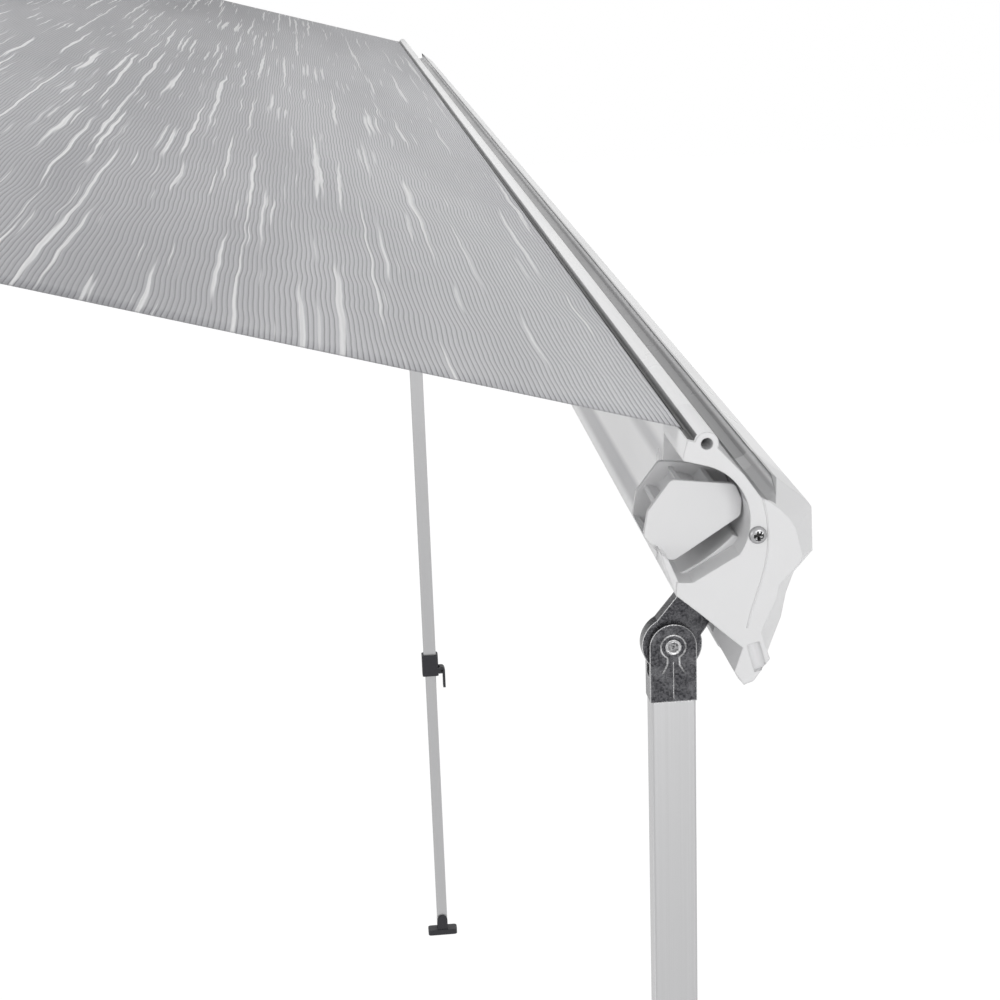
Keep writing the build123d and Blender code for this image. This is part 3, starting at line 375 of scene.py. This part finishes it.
def rail_painted_shade(tree, coat):
    """The rail's painted shade: darker grey in the gutter, a near black strip in the slot and soft grey
    bands along the wall.
    """
    place, along, above = rail_place(tree)
    # Painted shade: the gutter is painted darker grey, and lighter grey over its last stretch next to the
    # end cap.
    end_length = cap_high.x - cap_low.x + gutter_end_length
    inner = from_end(place).band(end_length, end_length + 0.002)
    painted_gutter_shade = mix_colour(inner, grey(gutter_end_shade_grey, 0.006), grey(gutter_shade_grey, 0.006))
    coat = mix_colour(gutter_mask(along, above), coat, painted_gutter_shade)
    # Painted shade: two soft grey bands run along the rail's wall.
    wall = 1 - along.band(wall_to - 0.002, wall_to)
    lower_shade = between_bands(above, *low_shade_band, 0.007) * wall
    upper_shade = between_bands(above, *high_shade_band, 0.008) * wall
    coat = mix_colour(lower_shade * 0.95, coat, grey(0.2, 0.02))
    coat = mix_colour(upper_shade * 0.85, coat, grey(0.26, 0.02))
    # Painted shade: the slot beside the bead tube is painted near black.
    return mix_colour(slot_shade_mask(along, above), coat, grey(0.03))


def cap_painted_shade(tree, colour):
    """The end cap's painted shade: the gutter's lighter grey runs out on it, and the slot's near black
    strip goes on in it.
    """
    place, along, above = rail_place(tree)
    inward = from_end(place)
    behind_face = inward.band(0.0008, 0.0015)
    # Painted shade: the gutter's lighter grey goes on in the end cap, behind its face.
    colour = mix_colour(gutter_mask(along, above) * behind_face, colour, grey(gutter_end_shade_grey, 0.006))
    # Painted shade: the slot's near black strip goes on in the end cap.
    return mix_colour(slot_shade_mask(along, above) * inward.band(0.003, 0.0034), colour, grey(0.03))


def moulded_plastic(name, colour, roughness, edge, painted_shade=None):
    """Moulded plastic with a fine spark texture, softly rounded edges and any given painted shade."""
    material, tree, shader = new_material(name)
    place = object_place(tree)
    grain = noise(place, scale=2600.0, detail=2.0)
    flow = noise(place, scale=14.0, detail=4.0)
    tone = mix_colour(flow, grey(colour, 0.004), grey(colour * 0.97, 0.008))
    if painted_shade:
        tone = painted_shade(tree, tone)
    finish(tree, shader, {
        "Base Color": tone,
        "Roughness": flow * 0.1 + roughness,
        "Normal": bumped(grain, strength=0.06, distance=0.0001, normal=soft_edges(tree, edge)),
    })
    return material


def cast_metal(name, colour):
    """Die cast metal: grainy, finely mottled, and pale on its edges, partly rubbed wear and partly a
    painted highlight.
    """
    material, tree, shader = new_material(name)
    place = object_place(tree)
    grain = noise(place, scale=2400.0, detail=4.0)
    mottle = noise(place, scale=700.0, detail=5.0)
    cloud = noise(place, scale=130.0, detail=3.0).band(0.42, 0.68)
    dark = mix_colour(mottle.band(0.35, 0.65), grey(colour * 0.4, 0.004), grey(colour * 1.3, 0.006))
    hazy = mix_colour(cloud * 0.5, dark, grey(colour * 2.4, 0.008))
    finish(tree, shader, {
        # Partly rubbed wear and partly a painted highlight: sharp edges are painted pale grey.
        "Base Color": mix_colour(edge_wear_and_highlight(tree, radius=0.0011) * 0.9, hazy, grey(0.85, 0.006)),
        "Metallic": 0.85,
        "Roughness": mottle * 0.2 + 0.18,
        "Normal": bumped(grain * 0.6 + mottle * 0.5, strength=0.35, distance=0.0004,
                         normal=soft_edges(tree, radius=0.0007)),
    })
    return material


def drawn_aluminium(name, colour, lines):
    """Satin anodised aluminium with fine lines along the way it was drawn."""
    material, tree, shader = new_material(name)
    brushed = noise(object_place(tree, lines), scale=1.0, detail=4.0)
    mottle = noise(object_place(tree), scale=30.0, detail=3.0)
    finish(tree, shader, {
        "Base Color": mix_colour(brushed, grey(colour * 0.93, 0.004), grey(min(1, colour * 1.07), 0.008)),
        "Metallic": 0.85,
        "Roughness": brushed * 0.12 + mottle * 0.06 + 0.3,
        "Normal": bumped(brushed, strength=0.12, distance=0.0002, normal=soft_edges(tree, radius=0.0006)),
    })
    return material


def recess_mask(tree):
    """1 in the cross recess of the end caps' screws and 0 elsewhere."""
    place, along, above = rail_place(tree)
    first = (along * np.cos(recess_turn) + above * np.sin(recess_turn)).math("ABSOLUTE")
    second = (along * np.sin(recess_turn) - above * np.cos(recess_turn)).math("ABSOLUTE")
    near = first.math("MINIMUM", second)
    far = first.math("MAXIMUM", second)
    return ((1 - near.band(recess_width * 0.35, recess_width * 0.65))
            * (1 - far.band(recess_arm - recess_end_slope, recess_arm)))


def plated_steel(name, colour, recess_shade=None):
    """Zinc plated steel with a faint cloudy crystal, and near black painted shade where a mask is given.
    """
    material, tree, shader = new_material(name)
    place = object_place(tree)
    cloud = noise(place, scale=220.0, detail=4.0)
    tone = mix_colour(cloud, grey(colour * 0.85, 0.004), grey(colour, 0.01))
    # Painted shade: where the mask is given, as in a screw's cross recess, the steel is painted near
    # black.
    if recess_shade:
        tone = mix_colour(recess_shade(tree), tone, grey(0.03))
    finish(tree, shader, {
        "Base Color": tone,
        "Metallic": 1.0,
        "Roughness": cloud * 0.2 + 0.18,
        "Normal": bumped(cloud, strength=0.08, distance=0.0002, normal=soft_edges(tree, radius=0.0004)),
    })
    return material


def awning_cloth(name):
    """Ribbed cloth: dark lines between ribs and pale dashes along them, with painted shade that darkens
    it away from the rail, towards the wall and on the roll.
    """
    material, tree, shader = new_material(name)
    start = Shade(tree)
    uv = start.node("UVMap", uv_map="cloth")
    place = start.node("SeparateXYZ", {"Vector": uv})
    down = start.node("SeparateXYZ", {"Vector": uv}, out=1)
    drift = stretched_noise(uv, (10, 13, 1), 1.5) * cloth_drift
    turns = (down + drift) * (2 * pi / cloth_rib)
    rib = turns.math("SINE") * 0.5 + 0.5
    weave = place * (2 * pi / cloth_thread_across) + down * (2 * pi / cloth_thread_down)
    thread = weave.math("SINE") * 0.5 + 0.5
    fine = stretched_noise(uv, (700, 1800, 1), 2.0)
    across = uv.node("CombineXYZ", {0: place, 1: down + drift})
    long_dash = stretched_noise(across, (1.9, 190, 1), 0.0)
    short_dash = stretched_noise(across, (4.5, 280, 1), 0.0, (3, 7, 0))
    lit = down.band(cloth_lit_from, cloth_lit_to)
    shaded = 1 - lit
    long_dash = (long_dash + shaded * 0.035).band(0.69, 0.77)
    short_dash = (short_dash + shaded * 0.03).band(0.74, 0.8)
    dash = long_dash + short_dash * 0.7
    hem = place.math("ABSOLUTE").band(sheet_high.x - cloth_hem, sheet_high.x - cloth_hem * 0.8)
    shade = stretched_noise(uv, (1.2, 9, 1), 3.0)
    # Painted shade: the cloth is painted darker away from the rail, and lighter near the rail where it is
    # lit.
    painted_shade_tone = mix_colour(shade.band(0.3, 0.7), grey(0.34, 0.02), grey(0.45, 0.02))
    lit_tone = mix_colour(shade.band(0.3, 0.7), grey(0.62, 0.025), grey(0.72, 0.025))
    tone = mix_colour(lit, painted_shade_tone, lit_tone)
    ribbed = mix_colour(rib.band(0.0, 0.28) * 0.7 + fine * 0.3, grey(0.2, 0.012), tone)
    dashed = mix_colour(dash.math("MINIMUM", 0.85), ribbed, grey(0.85, 0.004))
    finish(tree, shader, {
        "Base Color": mix_colour(hem * 0.5, dashed, grey(0.3, 0.01)),
        "Roughness": 0.72,
        "Normal": bumped(rib * 0.7 + thread * 0.2 + dash * 0.5, strength=0.5, distance=0.0008),
    })
    shader.inputs["Sheen Weight"].default_value = 0.2
    shader.inputs["Sheen Roughness"].default_value = 0.4
    return material


def shown(tree):
    """1 for rays from the camera and in reflections and glass, and 0 for light that falls on pieces."""
    start = Shade(tree)
    seen = start.node("LightPath", out="Is Camera Ray")
    shiny = start.node("LightPath", out="Is Glossy Ray")
    clear = start.node("LightPath", out="Is Transmission Ray")
    return seen.math("MAXIMUM", shiny).math("MAXIMUM", clear)


def studio_white(name, strength):
    """Floor or backdrop: white to the camera and in reflections, and it still takes a shadow."""
    material, tree, shader = new_material(name)
    finish(tree, shader, {"Base Color": grey(0.85), "Roughness": 0.9})
    start = Shade(tree)
    glow = start.node("Emission", {"Color": grey(1.0), "Strength": strength})
    mixed = start.node("MixShader", {0: shown(tree) * floor_shown_share,
                                     1: Shade(tree, shader.outputs[0]), 2: glow})
    output = next(node for node in tree.nodes if node.type == "OUTPUT_MATERIAL")
    tree.links.new(mixed.socket, output.inputs[0])
    return material


def weld(piece):
    """Merges the doubled points of seams and poles and turns every face outwards."""
    work = bmesh.new()
    work.from_mesh(piece.data)
    bmesh.ops.remove_doubles(work, verts=work.verts, dist=1e-6)
    bmesh.ops.recalc_face_normals(work, faces=work.faces)
    work.to_mesh(piece.data)
    work.free()


def rail_point(along, above, across):
    """Points of the rail's section at distances across the awning."""
    along, above, across = np.broadcast_arrays(along, above, across)
    y = rail_end.y + down_slope.y * along + off_slope.y * above
    z = rail_end.z + down_slope.z * along + off_slope.z * above
    return np.stack([across, y, z], axis=-1)


def swept(name, path, radius):
    """Round bead along a path that lies upright to X.

    A circle of the radius stands square to the path at each of its points, spanned by X and by
    the path's normal, and shrinks to a point at both ends.
    """
    run = np.gradient(path, axis=0)
    run /= np.linalg.norm(run, axis=1)[:, None]
    side = np.cross(run, (1, 0, 0))
    path, side = (np.concatenate([rows[:1], rows, rows[-1:]]) for rows in (path, side))
    reach = np.full(len(path), radius)
    reach[[0, -1]] = 0
    turn = np.linspace(0, 2 * pi, bead_sides + 1)[None, :, None]
    way = np.cos(turn) * side[:, None, :] + np.sin(turn) * np.array((1.0, 0, 0))
    piece = grid_mesh(name, path[:, None, :] + reach[:, None, None] * way)
    weld(piece)
    return piece


def turned(name, place, stations, outward, dent=None):
    """Turned piece on an axis along X.

    Each station gives a height along the axis and a radius, and the surface goes round the axis
    through them.  A dent takes its depth, worked out from the radius and the turn, off the height.
    """
    turn = np.linspace(0, 2 * pi, turned_sides + 1)[None, :]
    height, radius = (np.array(values)[:, None] for values in zip(*stations))
    if dent:
        height = height - dent(radius, turn) * (height > 0)
    x = place.x + outward * height + 0 * turn
    points = np.stack([x, place.y + radius * np.cos(turn), place.z + radius * np.sin(turn)], axis=-1)
    piece = grid_mesh(name, points)
    weld(piece)
    return piece


def prism(name, outline, low, high, edge):
    """Solid of a closed outline of the rail's section between two places across, edges rounded."""
    along, above = np.array(outline).T
    count = len(outline)
    points = np.concatenate([rail_point(along, above, low), rail_point(along, above, high)])
    index = np.arange(count)
    after = (index + 1) % count
    sides = np.stack([index, after, after + count, index + count], axis=-1)
    mesh = bpy.data.meshes.new(name)
    ends = [index.tolist(), (index[::-1] + count).tolist()]
    mesh.from_pydata(points.tolist(), [], ends + sides.tolist())
    piece = bpy.data.objects.new(name, mesh)
    bpy.context.scene.collection.objects.link(piece)
    weld(piece)
    bevel = piece.modifiers.new("edges", "BEVEL")
    bevel.width = edge
    bevel.segments = 2
    return piece


def arc_through(first, middle, last, count=24):
    """Points of the circle's arc through three points."""
    a, b, c = (complex(*point) for point in (first, middle, last))
    w = (c - a) / (b - a)
    centre = (b - a) * (w - abs(w) ** 2) / (2j * w.imag) + a
    start, end = np.angle(a - centre), np.angle(c - centre)
    if (end - start) * w.imag < 0:
        end += 2 * pi * np.sign(w.imag)
    angle = np.linspace(start, end, count)
    return [(point.real, point.imag) for point in centre + abs(a - centre) * np.exp(1j * angle)]


def attach(piece, material, body, slot, *replaced):
    """Gives a piece its material and its body, and hides the nodes that it stands for; the slot is not
    used.
    """
    piece.data.materials.append(material)
    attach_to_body(piece, body)
    if replaced:
        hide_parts(*replaced)


def cross_recess(radius, turn):
    """Depth of the cross recess: two arms, at right angles, with sloping sides."""
    turn = turn - recess_turn
    off_arm = np.minimum(np.abs(radius * np.sin(turn)), np.abs(radius * np.cos(turn)))
    wide = np.clip((recess_width / 2 - off_arm) / recess_side_slope + 0.5, 0, 1)
    long = np.clip((recess_arm - radius) / recess_end_slope, 0, 1)
    return recess_depth * wide * long


def cap_details():
    """Screws, face beads, blades and pads of both end caps of the rail."""
    rim = np.linspace(0, screw_head_radius, 40)
    dome = screw_head * (1 - (rim / screw_head_radius) ** screw_head_power) ** (1 / screw_head_power)
    shank = [(0, screw_shank_radius), (-screw_length, screw_shank_radius), (-screw_length - screw_tip, 0)]
    along, above = np.array(bead_points).T
    up = np.linspace(above[0], above[-1], bead_steps)
    curve = np.polyval(np.polyfit(above, along, 4), up)
    pad = arc_through(*pad_arc) + pad_foot
    screws = []
    for side, outward in (("left", -1), ("right", 1)):
        face = outward * -cap_low.x
        place = Vector((face, rail_end.y, rail_end.z))
        stations = list(zip(dome, rim)) + shank
        screws.append(turned("cap_screw_" + side, place, stations, outward, cross_recess))
        bead = swept("cap_bead_" + side, rail_point(curve, up, face), face_bead)
        attach(bead, cap_material, "front_rail", "white_moulding")
        blade = prism("cap_blade_" + side, blade_points, face - outward * blade_inset,
                      face - outward * blade_length, moulding_edge)
        attach(blade, cap_material, "front_rail", "white_moulding")
        cushion = prism("cap_pad_" + side, pad, face - outward * pad_from,
                        face - outward * pad_to, moulding_edge)
        attach(cushion, cap_material, "front_rail", "white_moulding")
    for screw in screws:
        attach(screw, screw_steel, "front_rail", "plated_steel", "rail_cap_screws")


def leg_details():
    """Headed pin of each leg, and the keyhole rib and parting line on its clevis."""
    for side, outward in (("left", -1), ("right", 1)):
        pin_low, pin_high = (Vector(corner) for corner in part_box("leg_pin_" + side))
        clevis_low, clevis_high = (Vector(corner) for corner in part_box("leg_clevis_" + side))
        middle = (pin_low + pin_high) / 2
        wide = (clevis_high.x - clevis_low.x) / 2
        face = (clevis_low.x + clevis_high.x) / 2 + outward * wide
        place = Vector((face, middle.y, middle.z))
        back = [(-2 * wide - height, radius) for height, radius in pin_head[::-1]]
        shank = [(0, pin_radius), (-2 * wide, pin_radius)]
        pin = turned("clevis_pin_" + side, place, pin_head + shank + back, outward)
        attach(pin, rubbed_casting, "knuckle_" + side, "plated_steel", "leg_pin_" + side)
        turn = np.linspace(key_opening - pi / 2, 3 * pi / 2 - key_opening, 60)
        ring = key_radius * np.stack([np.cos(turn), np.sin(turn)], axis=-1)
        leg = np.array([key_foot, key_neck])
        inward, up = np.concatenate([leg, ring, leg[::-1] * (-1, 1)]).T
        path = np.stack([face + 0 * up, middle.y + inward, middle.z + up], axis=-1)
        rib = swept("clevis_rib_" + side, path, rib_radius)
        attach(rib, rubbed_casting, "leg_" + side, "cast_metal")
        down = np.linspace(parting_from, clevis_low.z - middle.z + parting_above_foot, 12)
        line = np.stack([face + 0 * down, middle.y + 0 * down, middle.z + down], axis=-1)
        seam = swept("clevis_parting_" + side, line, parting_radius)
        attach(seam, casting, "leg_" + side, "cast_metal")


def grid_mesh(name, points, uv=None, uv_name="cloth"):
    """Mesh of a grid of points, shaped rows by columns by 3, with its faces' corners in order."""
    rows, columns = points.shape[:2]
    index = np.arange(rows * columns).reshape(rows, columns)
    faces = np.stack([index[:-1, :-1], index[:-1, 1:], index[1:, 1:], index[1:, :-1]], axis=-1)
    mesh = bpy.data.meshes.new(name)
    mesh.from_pydata(points.reshape(-1, 3).tolist(), [], faces.reshape(-1, 4).tolist())
    if uv is not None:
        layer = mesh.uv_layers.new(name=uv_name)
        corners = np.empty(len(mesh.loops), dtype=np.int32)
        mesh.loops.foreach_get("vertex_index", corners)
        layer.data.foreach_set("uv", uv.reshape(-1, 2)[corners].ravel())
    mesh.polygons.foreach_set("use_smooth", np.ones(len(mesh.polygons), dtype=bool))
    piece = bpy.data.objects.new(name, mesh)
    bpy.context.scene.collection.objects.link(piece)
    return piece


def thicken(piece, thickness):
    """Gives a surface its thickness, half to each side, and applies it."""
    wall = piece.modifiers.new("thickness", "SOLIDIFY")
    wall.thickness = thickness
    wall.offset = 0
    bpy.context.view_layer.objects.active = piece
    with bpy.context.temp_override(object=piece, active_object=piece, selected_objects=[piece]):
        bpy.ops.object.modifier_apply(modifier=wall.name)


def slope_frame(start, end):
    """Unit way from one point to another and the unit normal above it, in the YZ plane."""
    way = (end - start).normalized()
    return way, Vector((0, way.z, -way.y)) if way.y < 0 else Vector((0, -way.z, way.y))


def stretched_cloth():
    """Awning cloth from the roller to the front rail.

    Across the width and down the slope it is straight, plus soft waves along the rail: a sine of
    the place across and of the share s of the way down, times s and a sine that is zero at both
    ends.  At the rail it turns through a right angle and drops into the bead tube's slot.
    """
    half = (sheet_high.x - sheet_low.x) / 2
    start = Vector((0, sheet_high.y, sheet_high.z - cloth_thickness))
    top = tip_above + cloth_above_tip
    end = rail_end + down_slope * (slot_along - cloth_bend - cloth_tuck_gap) + off_slope * top
    end.x = 0
    way, above = slope_frame(start, end)
    length = (end - start).length
    share = np.linspace(0, 1, cloth_rows)[:, None]
    across = np.linspace(-half, half, cloth_columns)[None, :]
    wave = np.sin(across * wave_turn_across + share * wave_turn_down)
    lift = cloth_wave * wave * np.sin(pi * share) * share
    x = across + 0 * share
    y = start.y + way.y * length * share + above.y * lift
    z = start.z + way.z * length * share + above.z * lift
    turn = np.linspace(0.1, 1, 9)[:, None] * pi / 2
    tuck = rail_point(slot_along - cloth_bend * (1 - np.sin(turn)), top - cloth_bend * (1 - np.cos(turn)),
                      across)
    inside = np.linspace(tip_above - cloth_tail_below_tip, rod_above + cloth_tail_above_rod, 6)
    tail = rail_point(slot_along, inside[:, None], across)
    points = np.concatenate([np.stack([x, y, z], axis=-1), tuck, tail])
    steps = np.linalg.norm(np.diff(points[:, 0], axis=0), axis=-1)
    down = np.concatenate([[0], np.cumsum(steps)])[:, None]
    length = float(down[-1, 0])
    uv = np.stack([across + 0 * down, down + 0 * across], axis=-1)
    cloth = grid_mesh("cloth", points, uv)
    thicken(cloth, cloth_thickness)
    cloth.data.materials.append(cloth_material)
    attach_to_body(cloth, "front_rail")
    tuple(-way)
    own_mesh(cloth)
    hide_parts("fabric_sheet")


def cloth_roll():
    """Turns of cloth left on the roller: a spiral whose radius grows by one step a turn."""
    middle = (winding_low + winding_high) / 2
    outer = (winding_high.z - winding_low.z) / 2
    turn = np.linspace(0, 2 * pi * roll_turns, roll_sides * roll_turns + 1)[:, None]
    radius = outer - roll_step / 2 - roll_step * (roll_turns - turn / (2 * pi))
    across = np.linspace(winding_low.x, winding_high.x, roll_columns)[None, :]
    angle = turn - pitch
    points = np.stack([across + 0 * turn, middle.y - radius * np.sin(angle) + 0 * across,
                       middle.z + radius * np.cos(angle) + 0 * across], axis=-1)
    arc = turn * (outer - roll_step * roll_turns / 2)
    uv = np.stack([across + 0 * turn, arc + 0 * across], axis=-1)
    roll = grid_mesh("cloth_roll", points, uv)
    thicken(roll, cloth_thickness)
    roll.data.materials.append(cloth_material)
    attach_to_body(roll, "roller")
    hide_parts("fabric_winding")


def dress(names, material):
    """Gives a material to the CAD nodes whose names start with one of these words."""
    for name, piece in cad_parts.items():
        if name.startswith(tuple(names)):
            piece.data.materials.clear()
            piece.data.materials.append(material)


cloth_material = awning_cloth("awning_cloth")
dress(["cassette"], powder_coat("case_powder_coat", colour=0.8))
cap_material = moulded_plastic("rail_cap_moulding", colour=0.8, roughness=0.28, edge=0.0012,
                               painted_shade=cap_painted_shade)
casting = cast_metal("grey_casting", colour=0.066)
rubbed_casting = cast_metal("rubbed_casting", colour=0.3)
zinc = plated_steel("zinc_plate", colour=0.62)
screw_steel = plated_steel("cap_screw_steel", colour=0.42, recess_shade=recess_mask)
dress(["front_rail"], powder_coat("rail_powder_coat", colour=0.8, painted_shade=rail_painted_shade))
dress(["rail_end_cap"], cap_material)
dress(["case_end_cap"],
      moulded_plastic("white_moulding", colour=0.8, roughness=0.28, edge=0.0012))
dress(["docking"],
      moulded_plastic("white_guide_moulding", colour=0.78, roughness=0.34, edge=0.001))
dress(["roller_bush", "roller_plug"],
      moulded_plastic("grey_moulding", colour=0.45, roughness=0.4, edge=0.0006))
dress(["leg_collar", "leg_lever", "leg_foot", "gearbox", "bead_rod"],
      moulded_plastic("black_moulding", colour=0.02, roughness=0.42, edge=0.0008))
dress(["leg_knuckle", "leg_clevis", "leg_lugs"], casting)
dress(["leg_outer", "leg_inner"],
      drawn_aluminium("leg_aluminium", colour=0.5, lines=(1400, 1400, 4)))
dress(["roller_tube"], drawn_aluminium("roller_aluminium", colour=0.6, lines=(4, 1400, 1400)))
dress(["upper_arm", "forearm", "shoulder_brackets", "wrist_brackets"],
      powder_coat("arm_powder_coat", colour=0.74))
dress(["wall_brackets", "case_screws", "shoulder_pins", "worm_wheel", "crank", "rail_cap_screws",
       "wrist_pins", "leg_hinge", "arm_spring", "elbow_pin", "leg_pin"], zinc)
cap_details()
leg_details()
stretched_cloth()
cloth_roll()


def studio():
    """Pale floor, white surroundings, soft lamps, and the camera of the photograph."""
    floor_mesh = bpy.data.meshes.new("floor")
    corners = [(x * floor_reach, y * floor_reach, floor_height)
               for x, y in ((-1, -1), (1, -1), (1, 1), (-1, 1))]
    floor_mesh.from_pydata(corners, [], [(0, 1, 2, 3)])
    floor = bpy.data.objects.new("floor", floor_mesh)
    floor_mesh.materials.append(studio_white("pale_floor", floor_glow))
    bpy.context.scene.collection.objects.link(floor)

    world = bpy.data.worlds.new("studio")
    world.use_nodes = True
    world.node_tree.nodes.clear()
    start = Shade(world.node_tree)
    soft = start.node("Background", {"Color": grey(1.0), "Strength": sky_light})
    plain = start.node("Background", {"Color": grey(1.0), "Strength": 1.0})
    sky = start.node("MixShader", {0: shown(world.node_tree), 1: soft, 2: plain})
    output = world.node_tree.nodes.new("ShaderNodeOutputWorld")
    world.node_tree.links.new(sky.socket, output.inputs[0])
    bpy.context.scene.world = world

    for name, from_screw, size, power in lamps:
        light = bpy.data.lights.new(name, "AREA")
        light.shape = "DISK"
        light.size = size
        light.energy = power
        lamp = bpy.data.objects.new(name, light)
        lamp.location = rail_end + Vector(from_screw)
        lamp.rotation_euler = (-Vector(from_screw)).to_track_quat("-Z", "Y").to_euler()
        bpy.context.scene.collection.objects.link(lamp)

    view = bpy.data.cameras.new("photo_camera")
    view.lens = focal_length
    view.sensor_width = sensor_width
    view.clip_end = 60
    camera = bpy.data.objects.new("photo_camera", view)
    back = camera_right.cross(camera_up)
    turn = Matrix((camera_right, camera_up, back)).transposed()
    camera.matrix_world = Matrix.Translation(rail_end + camera_from_screw) @ turn.to_4x4()
    bpy.context.scene.collection.objects.link(camera)
    bpy.context.scene.camera = camera
    bpy.context.scene.view_settings.view_transform = "Standard"


studio()
